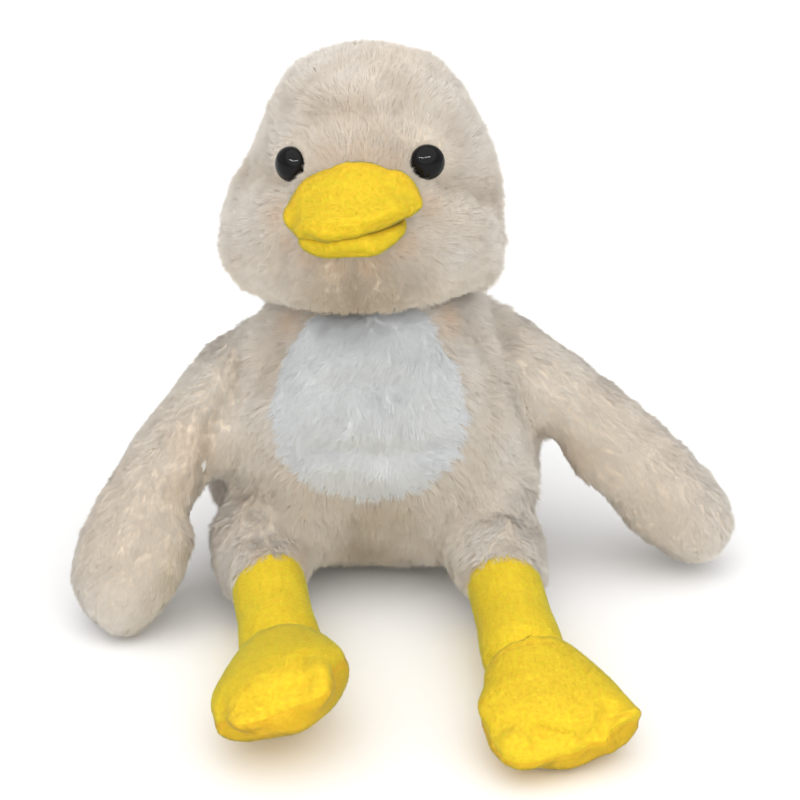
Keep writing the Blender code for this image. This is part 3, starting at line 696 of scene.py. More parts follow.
# Painted warm bounce light round the beak, and two broad, weak warm spots above it on the brow and forehead.
HEAD_WARM_BOUNCE_AND_SHADE = (
    ((281, 212), 0.010, 0.60),
    ((292, 237), 0.011, 0.50),
    ((312, 256), 0.010, 0.50),
    ((337, 264), 0.011, 0.50),
    ((370, 260), 0.010, 0.55),
    ((400, 244), 0.010, 0.60),
    ((426, 208), 0.010, 0.50),
    ((330, 164), 0.012, 0.45),
    ((360, 160), 0.013, 0.50),
    ((388, 166), 0.012, 0.50),
    ((350, 130), 0.034, 0.22),
    ((375, 80), 0.030, 0.14),
)
shape_form(head, HEAD_PULLS, HEAD_LUMPS, HEAD_PUFFS, HEAD_FOLDS, HEAD_SHADE_SPOTS, HEAD_WARM_BOUNCE_AND_SHADE)

# %% [markdown]
# ## Panels
# A sewer cuts each bag from several panels. The form's faces are shared out to the cover that lies
# nearest to them, and each panel then gets the thickness of its backing cloth.

# %% Cut the panels
BACKING = 0.0012
LOOK_OUT = 0.003


def nearest_cover(form, covers):
    """For each face of the form, the index of the cover nearest to it."""
    trees = [tree_of(nodes[cover].data) for cover in covers]
    chosen = []
    for face in form.data.polygons:
        place = face.center + face.normal * LOOK_OUT
        gaps = [tree.find_nearest(place)[3] for tree in trees]
        chosen.append(int(np.argmin(gaps)))
    return np.array(chosen)


def cut_panel(form, name, keep):
    """A panel of the form, from the faces marked to keep."""
    shape = bmesh.new()
    shape.from_mesh(form.data)
    shape.faces.ensure_lookup_table()
    unwanted = [face for face, kept in zip(shape.faces, keep) if not kept]
    bmesh.ops.delete(shape, geom=unwanted, context="FACES")
    mesh = mesh_of(name, shape)
    mesh.shade_smooth()
    return link_object(name, mesh)


# %% [markdown]
# ## Pile
# The long pile of fur cloth could be particle hair, but hair isn't part of a mesh and is lost when the
# toy is used elsewhere. Here each strand is a thin three-sided spike of mesh, rooted in the backing. A
# flat blade would be dark from behind, and a spike has no back. Strands lean along the way the fur was
# brushed, gather in small tufts, and take the cloth's own normals, so that the coat shades softly.

# %% Strand helpers
FLOOR_CLEARANCE = 0.0003
ROOT_DEPTH = 0.0005
# The marks: painted shade in folds and hollows, and painted warm bounce light and warm shade.
MARKS = ("crease_shade", "warm_bounce_and_shade")
SPIKE_POINTS = 4
SPIKE_SIDES = ((0, 1, 3), (1, 2, 3), (2, 0, 3))
WANDER_WAVES = ((0.6, 0.020, 3), (0.4, 0.007, 4))
RUFFLE_WAVE = (0.011, 5)
UNEVEN_SIZE = 0.006
UNEVEN_SEEDS = (41, 42, 43)
SHORTEST = 0.7
LENGTH_SPREAD = 0.5
CREASE_LOSS = 0.3
LIFT_SPREAD = 0.12
LIFT_RANGE = (0.12, 1.4)
GATHER_LEAST = 0.4
GATHER_SPREAD = 1.2
THINNEST = 0.7
WIDTH_SPREAD = 0.6
rng = np.random.default_rng(7)


def unit(vectors):
    """Each row at length one."""
    return vectors / np.maximum(np.linalg.norm(vectors, axis=1, keepdims=True), TINY)


def marks_of(mesh, name):
    """The mark of each point, or zeros."""
    values = np.zeros(len(mesh.vertices), dtype=np.float32)
    attribute = mesh.attributes.get(name)
    if attribute is not None:
        attribute.data.foreach_get("value", values)
    return values


def scatter_roots(mesh, density):
    """Places spread evenly over a mesh, with its normals and marks there."""
    mesh.calc_loop_triangles()
    corners = np.array([tuple(face.vertices) for face in mesh.loop_triangles])
    points = points_of(mesh)
    a, b, c = (points[corners[:, index]] for index in range(3))
    areas = np.linalg.norm(np.cross(b - a, c - a), axis=1) / 2
    count = int(areas.sum() * density)
    chosen = corners[rng.choice(len(areas), size=count, p=areas / areas.sum())]
    first = np.sqrt(rng.random(count))[:, None]
    second = rng.random(count)[:, None]
    weights = (1 - first, first * (1 - second), first * second)

    def spread(values):
        return sum(weight * values[chosen[:, index]] for index, weight in enumerate(weights))

    marks = {name: spread(marks_of(mesh, name)[:, None])[:, 0] for name in MARKS}
    return spread(points), unit(spread(normals_of(mesh))), marks


def tuft_leaders(roots, count):
    """For each strand, the strand in the middle of its tuft."""
    centers = rng.choice(len(roots), size=max(1, len(roots) // count), replace=False)
    tree = kdtree.KDTree(len(centers))
    for index, center in enumerate(centers):
        tree.insert(roots[center], index)
    tree.balance()
    nearest = np.array([tree.find(place)[1] for place in roots])
    return centers[nearest]


def grow_pile(mesh, look):
    """Strands over a mesh: their points, normals and marks."""
    roots, normals, marks = scatter_roots(mesh, look["density"])
    count = len(roots)
    flow = look["brush"](roots, normals)
    flow = unit(flow - normals * np.sum(flow * normals, axis=1, keepdims=True))
    side = np.cross(normals, flow)
    turn = look["wander"] * sum(share * smooth_noise(roots, *wave) for share, *wave in WANDER_WAVES)
    turn += rng.normal(0.0, look["stray"], count)
    flow = flow * np.cos(turn)[:, None] + side * np.sin(turn)[:, None]
    lengths = look["length"](roots) * (SHORTEST + LENGTH_SPREAD * rng.random(count))
    lengths = lengths * (1 - CREASE_LOSS * marks["crease_shade"])
    angle = look["lift"] * (1 + look["ruffle"] * smooth_noise(roots, *RUFFLE_WAVE))
    angle = np.clip(angle + rng.normal(0.0, LIFT_SPREAD, count), *LIFT_RANGE)
    lean = flow * np.cos(angle)[:, None] + normals * np.sin(angle)[:, None]
    tips = roots + lean * lengths[:, None]
    leader = tuft_leaders(roots, look["tuft"])
    gather = (look["gather"] * (GATHER_LEAST + GATHER_SPREAD * rng.random(count)))[:, None]
    tips = tips + (tips[leader] - tips) * gather
    axis = unit(tips - roots)
    across = unit(np.cross(axis, normals + 0.01))
    over = np.cross(axis, across)
    radius = (look["width"] / 2 * (THINNEST + WIDTH_SPREAD * rng.random(count)))[:, None]
    spin = rng.random(count) * math.tau
    base = roots - normals * ROOT_DEPTH
    corners = []
    for corner in range(3):
        around = (spin + math.tau * corner / 3)[:, None]
        corners.append(base + (across * np.cos(around) + over * np.sin(around)) * radius)
    strands = np.stack((*corners, tips), axis=1)
    strands[:, :, 2] = np.maximum(strands[:, :, 2], FLOOR_CLEARANCE)
    uneven = np.stack([smooth_noise(roots, UNEVEN_SIZE, seed) for seed in UNEVEN_SEEDS], axis=1)
    shading = unit(normals + look["uneven"] * uneven)
    return strands, shading, rng.random(count), marks


def add_pile(item, strands, shading, shade, marks):
    """Join the strands to a panel of backing cloth, in the second material slot."""
    panel = item.data
    base_points = points_of(panel)
    base_normals = normals_of(panel)
    base_marks = {name: marks_of(panel, name) for name in MARKS}
    base_faces = [tuple(face.vertices) for face in panel.polygons]
    offset = len(base_points)
    count = len(strands)
    points = np.concatenate((base_points, strands.reshape(-1, 3)))
    first = offset + SPIKE_POINTS * np.arange(count)[:, None]
    sides = np.concatenate([first + np.array(corners) for corners in SPIKE_SIDES])
    mesh = bpy.data.meshes.new(panel.name)
    mesh.from_pydata(points, [], base_faces + sides.tolist())
    slots = np.zeros(len(mesh.polygons), dtype=np.int32)
    slots[len(base_faces):] = 1
    mesh.polygons.foreach_set("material_index", slots)
    values = {
        "reach": np.concatenate((np.zeros(offset), np.tile([0.0, 0.0, 0.0, 1.0], count))),
        "strand": np.concatenate((np.full(offset, 0.5), np.repeat(shade, SPIKE_POINTS))),
    }
    for name in MARKS:
        values[name] = np.concatenate((base_marks[name], np.repeat(marks[name], SPIKE_POINTS)))
    for name, numbers in values.items():
        attribute = mesh.attributes.new(name, "FLOAT", "POINT")
        attribute.data.foreach_set("value", numbers.astype(np.float32))
    mesh.shade_smooth()
    shading = np.repeat(shading, SPIKE_POINTS, axis=0)
    mesh.normals_split_custom_set_from_vertices(np.concatenate((base_normals, shading)))
    item.data = mesh


# %% [markdown]
# ## Finishes
# Fur cloth is a knitted backing with pile of slightly mixed color: pale at the tips. Near the roots, where
# light hardly reaches, painted shade makes the pile warmer and darker. Color therefore follows each
# strand's reach, with broad soft patches over the whole coat.

# %% Fur finishes
def add_node(material, kind, **values):
    """A node with its settings."""
    return with_settings(material.node_tree.nodes.new(kind), values)


def read_attribute(material, name):
    """The named number that a mesh carries."""
    return add_node(material, "ShaderNodeAttribute", attribute_name=name).outputs["Fac"]


def soft_patches(material, scale, detail=2.0):
    """Broad patches in the object's own space."""
    place = add_node(material, "ShaderNodeTexCoord").outputs["Object"]
    made = add_node(material, "ShaderNodeTexNoise")
    made.inputs["Scale"].default_value = scale
    made.inputs["Detail"].default_value = detail
    material.node_tree.links.new(place, made.inputs["Vector"])
    return made.outputs["Fac"]


def mix_colors(material, share, first, second):
    """A color between two, each a color or another node's output."""
    made = add_node(material, "ShaderNodeMix", data_type="RGBA")
    sockets = (made.inputs[0], made.inputs[6], made.inputs[7])
    for socket, value in zip(sockets, (share, first, second)):
        if isinstance(value, bpy.types.NodeSocket):
            material.node_tree.links.new(value, socket)
        elif isinstance(value, tuple):
            socket.default_value = (*value, 1.0)
        else:
            socket.default_value = value
    return made.outputs[2]


def between(material, value, low, high, out_low=0.0, out_high=1.0):
    """Stretch a number's range."""
    made = add_node(material, "ShaderNodeMapRange")
    for name, number in (("From Min", low), ("From Max", high), ("To Min", out_low), ("To Max", out_high)):
        made.inputs[name].default_value = number
    material.node_tree.links.new(value, made.inputs["Value"])
    return made.outputs["Result"]


def pile_finish(name, tip, warm, root_shade, crease_shade, warm_bounce_and_shade):
    """Pile whose color runs from painted shade at its roots to its tips, with the painted shade and warm light
    that the cloth is marked for.
    """
    material, shader = principled(name)
    patches = between(material, soft_patches(material, 34.0), 0.35, 0.65)
    coat = mix_colors(material, patches, tip, warm)
    strand = between(material, read_attribute(material, "strand"), 0.0, 1.0, 0.0, 0.3)
    coat = mix_colors(material, strand, coat, warm)
    # Painted shade: the root color at each strand's root, fading into the coat color along the strand.
    reach = between(material, read_attribute(material, "reach"), 0.0, 0.7)
    coat = mix_colors(material, reach, root_shade, coat)
    # Painted shade where the cloth is marked for folds and hollows, then painted warm bounce light and warm shade.
    coat = mix_colors(material, read_attribute(material, "crease_shade"), coat, crease_shade)
    coat = mix_colors(material, read_attribute(material, "warm_bounce_and_shade"), coat, warm_bounce_and_shade)
    material.node_tree.links.new(coat, shader.inputs["Base Color"])
    shader.inputs["Roughness"].default_value = 0.85
    shader.inputs["Specular IOR Level"].default_value = 0.2
    shader.inputs["Sheen Weight"].default_value = 0.15
    shader.inputs["Sheen Roughness"].default_value = 0.5
    return material


def mottled_finish(name, color, dark, scale=420.0, detail=2.0, roughness=0.95):
    """Two close colors in small patches, such as knitted backing has."""
    material, shader = principled(name)
    coat = mix_colors(material, soft_patches(material, scale, detail), color, dark)
    material.node_tree.links.new(coat, shader.inputs["Base Color"])
    shader.inputs["Roughness"].default_value = roughness
    return material


# The root and crease colors are painted shade; the blush color is painted warm bounce light and warm shade.
FUR_COLORS = {
    "tip": (0.92, 0.865, 0.78),
    "warm": (0.87, 0.78, 0.665),
    "root_shade": (0.79, 0.68, 0.55),
    "crease_shade": (0.58, 0.48, 0.36),
    "warm_bounce_and_shade": (0.90, 0.66, 0.46),
}
WHITE_COLORS = {
    "tip": (0.92, 0.94, 0.94),
    "warm": (0.87, 0.89, 0.90),
    "root_shade": (0.84, 0.86, 0.86),
    "crease_shade": (0.78, 0.77, 0.74),
    "warm_bounce_and_shade": (0.90, 0.86, 0.80),
}
fur_pile = pile_finish("fur_pile", **FUR_COLORS)
white_pile = pile_finish("white_pile", **WHITE_COLORS)
# The backings are as dark as the pile's roots: real backing cloth, with painted shade for the depth between
# strands.
shaded_fur_backing = mottled_finish("shaded_fur_backing", (0.80, 0.68, 0.54), (0.72, 0.60, 0.46))
shaded_white_backing = mottled_finish("shaded_white_backing", (0.86, 0.88, 0.88), (0.78, 0.80, 0.80))

# %% [markdown]
# ## Brushing
# The way the pile lies is half of the look. On the body it was brushed downwards and a little out from
# the belly patch, on the face away from the beak, on the arms towards the hands, and on the thighs down.

# %% Ways of brushing
EYE_CLEAR = 0.0078
EYE_NEAR = 0.015
beak_low, beak_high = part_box("beak_upper_cover")
FACE_MIDDLE = np.array([(beak_low.x + beak_high.x) / 2, beak_low.y, (beak_low.z + beak_high.z) / 2])
PATCH_MIDDLE = np.array([-0.003, -0.06, 0.107])
PATCH_FAN = 0.045
DOWN = np.array([0.0, 0.0, -1.0])
eye_middles = [np.array(sum(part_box(f"eye_{side}"), Vector()) / 2) for side in SIDES]


def near_eyes(points):
    """For each point, how near an eye is, from 0 to 1, and the way from it."""
    nearness = np.zeros(len(points))
    away = np.zeros((len(points), 3))
    for middle in eye_middles:
        distance = np.linalg.norm(points - middle, axis=1)
        share = ease((EYE_NEAR - distance) / (EYE_NEAR - EYE_CLEAR))
        nearness = np.maximum(nearness, share)
        away += unit(points - middle) * share[:, None]
    return nearness, away


def brush_torso(points, normals):
    """Down, and out from the belly patch."""
    away = unit(points - PATCH_MIDDLE)
    return away * 0.6 + DOWN


def brush_head(points, normals):
    """Away from the beak and the eyes, and down at the back."""
    away = unit(points - FACE_MIDDLE)
    behind = np.clip((points[:, 1:2] + 0.01) / 0.05, 0.0, 1.0)
    from_eyes = 0.3 * near_eyes(points)[1]
    return away * (1 - behind) + DOWN * (behind + 0.15) + from_eyes


def head_length(points):
    """Shorter pile round the eyes."""
    return HEAD_PILE * (1 - 0.5 * near_eyes(points)[0])


def brush_patch(points, normals):
    """Down in a fan, away from the middle of the belly."""
    across = (points[:, 0:1] - PATCH_MIDDLE[0]) / PATCH_FAN + 0.6 * smooth_noise(points, 0.03, 2)[:, None]
    return np.clip(across, -1.0, 1.0) * np.array([1.0, 0.0, 0.0]) + np.array([0.0, 0.0, -0.9])


def brush_one_way(direction):
    """The same way everywhere, such as along a limb."""
    return lambda points, normals: np.tile(np.array(direction), (len(points), 1))


def even(length):
    """One length of pile everywhere."""
    return lambda points: np.full(len(points), length)


# %% Dress the forms in fur
TORSO_PILE = 0.0080
HEAD_PILE = 0.0066
ARM_PILE = 0.0054
THIGH_PILE = 0.0066
PATCH_PILE = 0.0060
ARM_BEND = (0.004, 0.040)
THIGH_BEND = (0.004, 0.026)
THIGH_BRUSH = (0.0, -0.5, -1.0)
FUR_LOOK = {
    "density": 4.0e6,
    "width": 0.00033,
    "stray": 0.3,
    "tuft": 22,
    "gather": 0.38,
    "ruffle": 0.35,
    "uneven": 0.17,
}


def look_of(body, brush, length, lift=0.5, wander=0.7, bend=None):
    """How one panel's pile lies, with its body's name and, for limbs, two points along the limb."""
    if not callable(length):
        length = even(length)
    lie = {"brush": brush, "length": length, "lift": lift, "wander": wander}
    return {"body": body, "bend": bend, **lie, **FUR_LOOK}


def finish_panel(item, cover, body, bend, finishes):
    """Give a panel its materials, and put it in place of its solid."""
    for finish in finishes:
        item.data.materials.append(finish)
    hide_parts(cover)
    if bend is None:
        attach(item, body)
    else:
        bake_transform(item)
    print("panel", item.name, len(item.data.polygons), "faces")


def dress(form, panels, dropped=()):
    """Panels of fur over one form, each in place of its solid."""
    chosen = nearest_cover(form, [*panels, *dropped])
    for index, (cover, look) in enumerate(panels.items()):
        item = cut_panel(form, f"{cover}_fur", chosen == index)
        pile = grow_pile(item.data, look)
        add_modifier(item, "SOLIDIFY", thickness=BACKING, offset=-1.0)
        apply_all(item)
        add_pile(item, *pile)
        if cover == "belly_patch":
            slot, finishes = "white_fur", (shaded_white_backing, white_pile)
        else:
            slot, finishes = "fur_back" if cover.endswith("_back") else "fur", (shaded_fur_backing, fur_pile)
        finish_panel(item, cover, look["body"], look["bend"], finishes)
    bpy.data.objects.remove(form)


joint_places = {joint["name"]: Vector(joint["pos_m"]) for joint in frame["joints"]}
panels = {cover: look_of("torso", brush_torso, TORSO_PILE) for cover in TORSO_COVERS}
panels["belly_patch"] = look_of("torso", brush_patch, PATCH_PILE)
for side in SIDES:
    shoulder = joint_places[f"shoulder_{side}_lift"]
    low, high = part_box(f"arm_{side}_cover_front")
    hand = Vector((high.x if side == "left" else low.x, (low.y + high.y) / 2, low.z))
    down_arm = (hand - shoulder).normalized()
    bend = [shoulder + down_arm * distance for distance in ARM_BEND]
    brush = brush_one_way(hand - shoulder)
    arm = look_of(f"arm_{side}", brush, ARM_PILE, lift=0.28, wander=0.5, bend=bend)
    panels[f"arm_{side}_cover_front"] = arm
    panels[f"arm_{side}_cover_back"] = arm
    hip = joint_places[f"hip_{side}_lift"]
    ankle = joint_places[f"ankle_{side}_flex"]
    down_leg = (ankle - hip).normalized()
    bend = [hip + down_leg * distance for distance in THIGH_BEND]
    brush = brush_one_way(THIGH_BRUSH)
    panels[f"thigh_{side}_cover"] = look_of(f"leg_{side}", brush, THIGH_PILE, lift=0.35, bend=bend)
dress(body, panels, SHANK_COVERS)
dress(head, {cover: look_of("head", brush_head, head_length) for cover in HEAD_COVERS})

# %% [markdown]
# ## Yellow velour
# Beak, shanks and feet are sewn from velour, whose pile is dense and about a millimetre long. A bump
# map could stand for it, but the soft edge against the light comes only from real strands, so the same
# strands grow here, short and in all directions. Folds and seams take a darker, warmer painted shade.
# The soles are a darker copy of the leg velour, painted shade for faces turned down, and the beak's
# velour is a little darker than the legs'.

# %% Velour finish
VELOUR_ROOM = 0.0007
VELOUR_CELL = 0.0022
BEAK_CELL = 0.0014
VELOUR_LOOK = {
    "brush": brush_one_way((0.0, -1.0, -0.7)),
    "density": 9.0e6,
    "width": 0.00026,
    "length": even(0.0012),
    "lift": 0.45,
    "wander": 0.3,
    "stray": 1.0,
    "tuft": 6,
    "gather": 0.15,
    "ruffle": 0.1,
    "uneven": 0.03,
}


def velour_set(name, tip, warm, root_shade, crease_shade):
    """The backing and the pile of one velour."""
    # The backing takes the root and crease colors, painted shade as under the fur.
    backing = mottled_finish(f"{name}_velour_backing", root_shade, crease_shade)
    return backing, pile_finish(f"{name}_velour_pile", tip, warm, root_shade, crease_shade, crease_shade)


# Columns: tip, warm, root and crease colors; root and crease are painted shade. The sole copy is darker as painted
# shade.
VELOUR_COLORS = {
    "leg": ((0.98, 0.87, 0.036), (0.96, 0.79, 0.022), (0.95, 0.77, 0.020), (0.80, 0.42, 0.010)),
    "beak": ((0.90, 0.80, 0.030), (0.88, 0.72, 0.020), (0.87, 0.70, 0.018), (0.86, 0.46, 0.010)),
    "sole": ((0.87, 0.71, 0.026), (0.85, 0.64, 0.018), (0.84, 0.61, 0.016), (0.82, 0.38, 0.009)),
}
velours = {name: velour_set(name, *colors) for name, colors in VELOUR_COLORS.items()}


def velour_form(name, node_names, cell, smoothing, cap):
    """A velour bag round the solids of one limb, drawn in by the room for its pile."""
    form = joined_copy(name, node_names)
    remesh(form, cell, smoothing)
    stuff(form, cap)
    raise_cloth(form, -VELOUR_ROOM)
    return form


def dress_velour(item, cover, body, finishes):
    """Pile and finish for one velour panel."""
    add_pile(item, *grow_pile(item.data, VELOUR_LOOK))
    finish_panel(item, cover, body, None, finishes)


# %% [markdown]
# ## Beak
# The beak is two padded halves, sewn round their rims. From the front the upper half is a lens with
# pointed corners, and the lower one a thinner lip below it.

# %% Beak
UPPER_PULLS = (
    ((348, 247), (348, 239), 0.020),
    ((305, 239), (304, 232), 0.012),
    ((385, 241), (378, 235), 0.014),
    ((340, 173), (338, 165), 0.020),
    ((375, 172), (374, 165), 0.020),
    ((303, 186), (302, 180), 0.014),
    ((409, 182), (407, 174), 0.012),
    ((286, 213), (281, 213), 0.008),
    ((420, 199), (424, 200), 0.008),
    ((290, 226), (292, 223), 0.008),
    ((399, 234), (399, 227), 0.018),
    ((411, 224), (412, 219), 0.016),
    ((304, 241), (304, 237), 0.010),
)
LOWER_PUFFS = (((345, 247), 0.030, 0.0045), ((370, 244), 0.022, 0.0030))
LOWER_PULLS = (
    ((345, 260), (348, 258), 0.020),
    ((305, 242), (298, 236), 0.012),
    ((399, 241), (404, 234), 0.014),
    ((345, 246), (345, 243), 0.030),
)
UPPER_RIM = ((287, 218), (303, 226), (330, 231), (350, 233), (374, 229), (397, 220), (413, 210))
UPPER_ROOT = (
    (283, 208), (290, 192), (305, 177), (328, 166), (354, 163), (382, 165), (405, 175), (420, 192)
)
# The rim fold is pressed in; the line where the beak meets the head is only painted shade.
UPPER_FOLDS = (
    (UPPER_RIM, 0.0020, 0.0006, 0.25),
    (UPPER_ROOT, 0.0026, 0.0, 0.8),
)
BEAK_SMOOTHING = 12
BEAK_SWELL = 0.0006
BEAK_SHAPES = {"upper": ((), UPPER_PULLS, UPPER_FOLDS), "lower": (LOWER_PUFFS, LOWER_PULLS, ())}
for half, (puffs, pulls, folds) in BEAK_SHAPES.items():
    cover = f"beak_{half}_cover"
    form = velour_form(f"{cover}_cloth", (cover, f"beak_{half}_stuffing"), BEAK_CELL, 3, BEAK_SWELL)
    puff(form, puffs)
    pull(form, pulls)
    smooth_form(form, BEAK_SMOOTHING)
    fold(form, folds)
    dress_velour(form, cover, "head", velours["beak"])

# %% [markdown]
# ## Shanks
# Each shank is a short tube that slips under the thigh's hem and ends at the ankle. Its top is drawn in,
# so that the fur of the hem hangs over it, and its end widens to meet the foot that is sewn to it.

# %% Shanks
SHANK_TUCK = 0.006
TUCK_DEPTH = 0.0075
FLARE = 0.0014
FLARE_REACH = 0.018
FLARE_WHOLE = 0.014
SHANK_SWELL = 0.0022


def along_leg(points, hip, ankle):
    """How far each point lies from the hip, along the way to the ankle."""
    return (points - np.array(hip)) @ np.array((ankle - hip).normalized())


def tuck_top(item, hip, ankle, hem):
    """Draw in the end of a shank that lies under the thigh's hem."""
    beyond = hem - along_leg(points_of(item.data), hip, ankle)
    raise_cloth(item, -TUCK_DEPTH * ease((beyond + SHANK_TUCK) / (2 * SHANK_TUCK)))


def flare_end(item, ankle):
    """Widen the end of a shank that lies by the ankle."""
    away = np.linalg.norm(points_of(item.data) - np.array(ankle), axis=1)
    raise_cloth(item, FLARE * ease((FLARE_REACH + FLARE_WHOLE - away) / FLARE_REACH))


for side in SIDES:
    cover = f"shank_{side}_cover"
    solids = (cover, f"leg_{side}_stuffing")
    form = velour_form(f"shank_{side}_form", solids, VELOUR_CELL, 3, SHANK_SWELL)
    hip = joint_places[f"hip_{side}_lift"]
    ankle = joint_places[f"ankle_{side}_flex"]
    hem = float(along_leg(points_of(nodes[cover].data), hip, ankle).min())
    centers = np.array([tuple(face.center) for face in form.data.polygons])
    kept = along_leg(centers, hip, ankle) > hem - SHANK_TUCK
    shank = cut_panel(form, f"shank_{side}_cloth", kept)
    tuck_top(shank, hip, ankle, hem)
    flare_end(shank, ankle)
    bpy.data.objects.remove(form)
    dress_velour(shank, cover, f"leg_{side}", velours["leg"])

# %% [markdown]
# ## Feet
# A foot is a pad of two panels, top and sole, turned inside out and filled. The seam between them is cut
# along the plane where the two solids meet. Stitches through the pad part the toes.

# %% Feet
FOOT_SMOOTHING = {"left": 8, "right": 18}
SEAM_NEAR = 0.0012
SEAM_PRESS = 0.0009
SEAM_WIDTH = 0.0022
SEAM_SHADE = 0.4
FOOT_SWELL = 0.0012
FOOT_PULLS = {
    "left": (
        ((639, 729), (635, 713), 0.014),
        ((624, 705), (631, 706), 0.018),
        ((631, 741), (616, 733), 0.013),
        ((600, 758), (595, 751), 0.010),
        ((486, 700), (479, 700), 0.014),
        ((560, 770), (556, 769), 0.014),
    ),
    "right": (
        ((206, 715), (219, 712), 0.018),
        ((222, 745), (232, 733), 0.018),
        ((270, 741), (272, 736), 0.018),
        ((351, 673), (333, 670), 0.022),
        ((228, 738), (231, 729), 0.011),
        ((323, 713), (315, 718), 0.014),
    ),
}
# Each fold is a line, a width, a depth and a share of painted shade; the shallowest ones are mostly painted shade.
FOOT_FOLDS = {
    "left": (
        (((480, 653), (500, 647), (527, 641), (552, 639)), 0.0016, 0.0003, 0.80),
        (((610, 706), (606, 722), (600, 735), (580, 738), (558, 735), (542, 730)), 0.0036, 0.0018, 0.45),
        (((500, 724), (516, 718), (533, 727), (537, 742), (526, 756)), 0.0042, 0.0013, 0.25),
        (((536, 728), (556, 734), (586, 740)), 0.0012, 0.0004, 0.90),
        (((600, 714), (616, 713), (631, 711)), 0.0012, 0.0004, 0.90),
    ),
    "right": (
        (((219, 708), (240, 708), (260, 704), (279, 696), (296, 687), (310, 680)), 0.0038, 0.0013, 0.45),
        (((302, 654), (298, 664), (302, 676)), 0.0036, 0.0010, 0.15),
        (((227, 720), (236, 708), (254, 711), (282, 698), (298, 686), (309, 681)), 0.0012, 0.0004, 0.90),
    ),
}
FOOT_PUFFS = {
    "left": (((512, 740), 0.011, 0.0020), ((570, 748), 0.012, 0.0014), ((545, 700), 0.014, 0.0008)),
    "right": (((322, 668), 0.011, 0.0012), ((270, 718), 0.014, 0.0012), ((258, 680), 0.014, 0.0006)),
}
# Spots of painted shade at the toes and over the front of the right foot.
FOOT_SHADE_SPOTS = {
    "left": (((617, 706), 0.007, 0.5), ((537, 745), 0.006, 0.4), ((560, 700), 0.055, 0.25)),
    "right": (
        ((237, 707), 0.009, 0.7),
        ((225, 722), 0.008, 0.4),
        ((262, 712), 0.032, 0.50),
        ((300, 690), 0.024, 0.45),
    ),
}


def seam_plane(first, second):
    """A point and the normal of the plane where two solids meet."""
    points = points_of(nodes[first].data)
    gaps = gaps_to(points, [tree_of(nodes[second].data)], SEAM_NEAR * 2)
    near = points[gaps < SEAM_NEAR]
    middle = near.mean(axis=0)
    normal = np.linalg.svd(near - middle)[2][2]
    return middle, normal * np.sign(normal[2])


def cut_along(item, middle, normal):
    """Cut a form's faces exactly along a plane."""
    shape = bmesh.new()
    shape.from_mesh(item.data)
    geometry = [*shape.verts, *shape.edges, *shape.faces]
    bmesh.ops.bisect_plane(shape, geom=geometry, plane_co=Vector(middle), plane_no=Vector(normal))
    bmesh.ops.triangulate(shape, faces=[face for face in shape.faces if len(face.verts) > 4])
    shape.to_mesh(item.data)
    shape.free()


for side in SIDES:
    top, sole = f"foot_{side}_top", f"foot_{side}_sole"
    solids = (top, sole, f"foot_{side}_stuffing")
    foot = velour_form(f"foot_{side}_form", solids, VELOUR_CELL, 4, FOOT_SWELL)
    middle, normal = seam_plane(top, sole)
    cut_along(foot, middle, normal)
    centers = np.array([tuple(face.center) for face in foot.data.polygons])
    above = (centers - middle) @ normal > 0
    pressed = np.exp(-((((points_of(foot.data) - middle) @ normal) / SEAM_WIDTH) ** 2))
    raise_cloth(foot, -SEAM_PRESS * pressed)
    # Painted shade along the seam between top and sole.
    mark(foot, "crease_shade", SEAM_SHADE * pressed)
    pull(foot, FOOT_PULLS[side])
    smooth_form(foot, FOOT_SMOOTHING[side])
    puff(foot, FOOT_PUFFS[side])
    fold(foot, FOOT_FOLDS[side])
    smooth_form(foot, 1)
    shading_tint(foot, FOOT_SHADE_SPOTS[side])
    for cover, kept, finishes, slot in (
        (top, above, velours["leg"], "velour"),
        (sole, ~above, velours["sole"], "velour_sole"),
    ):
        item = cut_panel(foot, f"{cover}_cloth", kept)
        dress_velour(item, cover, f"foot_{side}", finishes)
    bpy.data.objects.remove(foot)

# %% [markdown]
# ## Eyes
# Safety eyes are domes of black plastic with a polished face. A sphere would be too deep, so the dome
# is an arc turned round its post, with a small rolled rim where it meets the fur.

# %% Eyes
EYE_STEPS = 64
EYE_RADIUS = 0.0078
EYE_RISE = 0.0058
EYE_RIM = 0.0012
POST_RADIUS = 0.0022
POST_LENGTH = 0.014
DOME_RINGS = 20
RIM_RINGS = 6


def turned(name, outline, steps):
    """A mesh from an outline of (radius, height), turned round Z."""
    shape = bmesh.new()
    rows = []
    for radius, height in outline:
        if radius < 1e-6:
            rows.append([shape.verts.new((0.0, 0.0, height))] * steps)
            continue
        rows.append([
            shape.verts.new((
                radius * math.cos(math.tau * step / steps),
                radius * math.sin(math.tau * step / steps),
                height,
            ))
            for step in range(steps)
        ])
    for upper, lower in zip(rows, rows[1:]):
        for step in range(steps):
            after = (step + 1) % steps
            corners = [upper[step], upper[after], lower[after], lower[step]]
            corners = [corner for index, corner in enumerate(corners) if corner not in corners[:index]]
            shape.faces.new(corners)
    bmesh.ops.recalc_face_normals(shape, faces=shape.faces)
    mesh = mesh_of(name, shape)
    mesh.shade_smooth()
    return mesh


def eye_outline():
    """Dome, rolled rim, flat back and post."""
    points = [
        (EYE_RADIUS * math.sin(angle), EYE_RISE * math.cos(angle))
        for angle in np.linspace(0.0, math.pi / 2, DOME_RINGS)
    ]
    roll = EYE_RIM / 2
    points += [
        (EYE_RADIUS - roll + roll * math.cos(angle), -roll - roll * math.sin(angle))
        for angle in np.linspace(0.0, math.pi / 2, RIM_RINGS)
    ]
    points.append((POST_RADIUS, -EYE_RIM))
    points.append((POST_RADIUS, -POST_LENGTH))
    points.append((0.0, -POST_LENGTH))
    return points


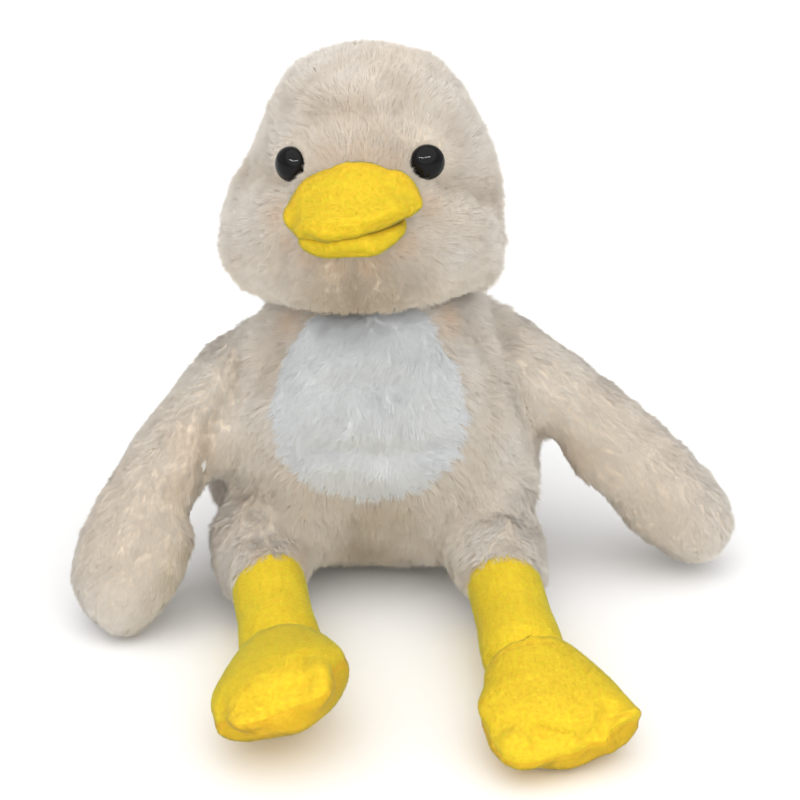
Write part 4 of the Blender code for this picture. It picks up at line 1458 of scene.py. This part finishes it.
def eye_frame(node):
    """The turn and place of an eye's solid, from its top and the end of its post."""
    points = points_of(nodes[node].data)
    middle = points.mean(axis=0)
    far = points[np.argmax(np.linalg.norm(points - middle, axis=1))]
    top = points[np.argmax(np.linalg.norm(points - far, axis=1))]
    if top[1] > far[1]:
        top, far = far, top
    axis = Vector(top - far).normalized()
    place = Vector(top) - axis * EYE_RISE
    return Matrix.Translation(place) @ axis.to_track_quat("Z", "Y").to_matrix().to_4x4()


eye_plastic = mottled_finish(
    "eye_plastic", (0.006, 0.006, 0.007), (0.010, 0.009, 0.009), scale=300.0, roughness=0.05
)
eye_shader = eye_plastic.node_tree.nodes["Principled BSDF"]
eye_shader.inputs["Specular IOR Level"].default_value = 0.14
for side in SIDES:
    mesh = turned(f"eye_{side}_dome", eye_outline(), EYE_STEPS)
    mesh.transform(eye_frame(f"eye_{side}"))
    eye = link_object(f"eye_{side}_dome", mesh)
    mesh.materials.append(eye_plastic)
    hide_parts(f"eye_{side}")
    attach(eye, "head")

# %% [markdown]
# ## Inside
# The filling is loose white fiber. It never shows, but the toy is whole inside: each filling is its
# solid, remeshed, roughened and drawn in a little, and the washers behind the eyes keep their own shape.

# %% Filling and washers
FILLING_CELL = 0.004
FILLING_INSET = 0.0045
FIBER_HEIGHT = 0.0006
FIBER_SIZE = 0.004
FIBER_SEED = 11
filling_fiber = mottled_finish(
    "filling_fiber", (0.92, 0.92, 0.90), (0.80, 0.80, 0.79), scale=250.0, detail=6.0
)

for body, members in frame["record"]["behaviour"]["bodies"].items():
    for node in members:
        if not node.endswith("stuffing"):
            continue
        item = joined_copy(node.replace("stuffing", "filling"), (node,))
        remesh(item, FILLING_CELL, 3)
        rough = FIBER_HEIGHT * smooth_noise(points_of(item.data), FIBER_SIZE, FIBER_SEED)
        raise_cloth(item, rough - FILLING_INSET)
        item.data.materials.clear()
        item.data.materials.append(filling_fiber)
        item.data.shade_smooth()
        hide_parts(node)
        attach(item, body)

washer_plastic = mottled_finish(
    "washer_plastic", (0.72, 0.74, 0.76), (0.66, 0.68, 0.70), scale=500.0, roughness=0.4
)
for side in SIDES:
    washer = nodes[f"eye_washer_{side}"]
    for slot in washer.material_slots:
        slot.material = washer_plastic
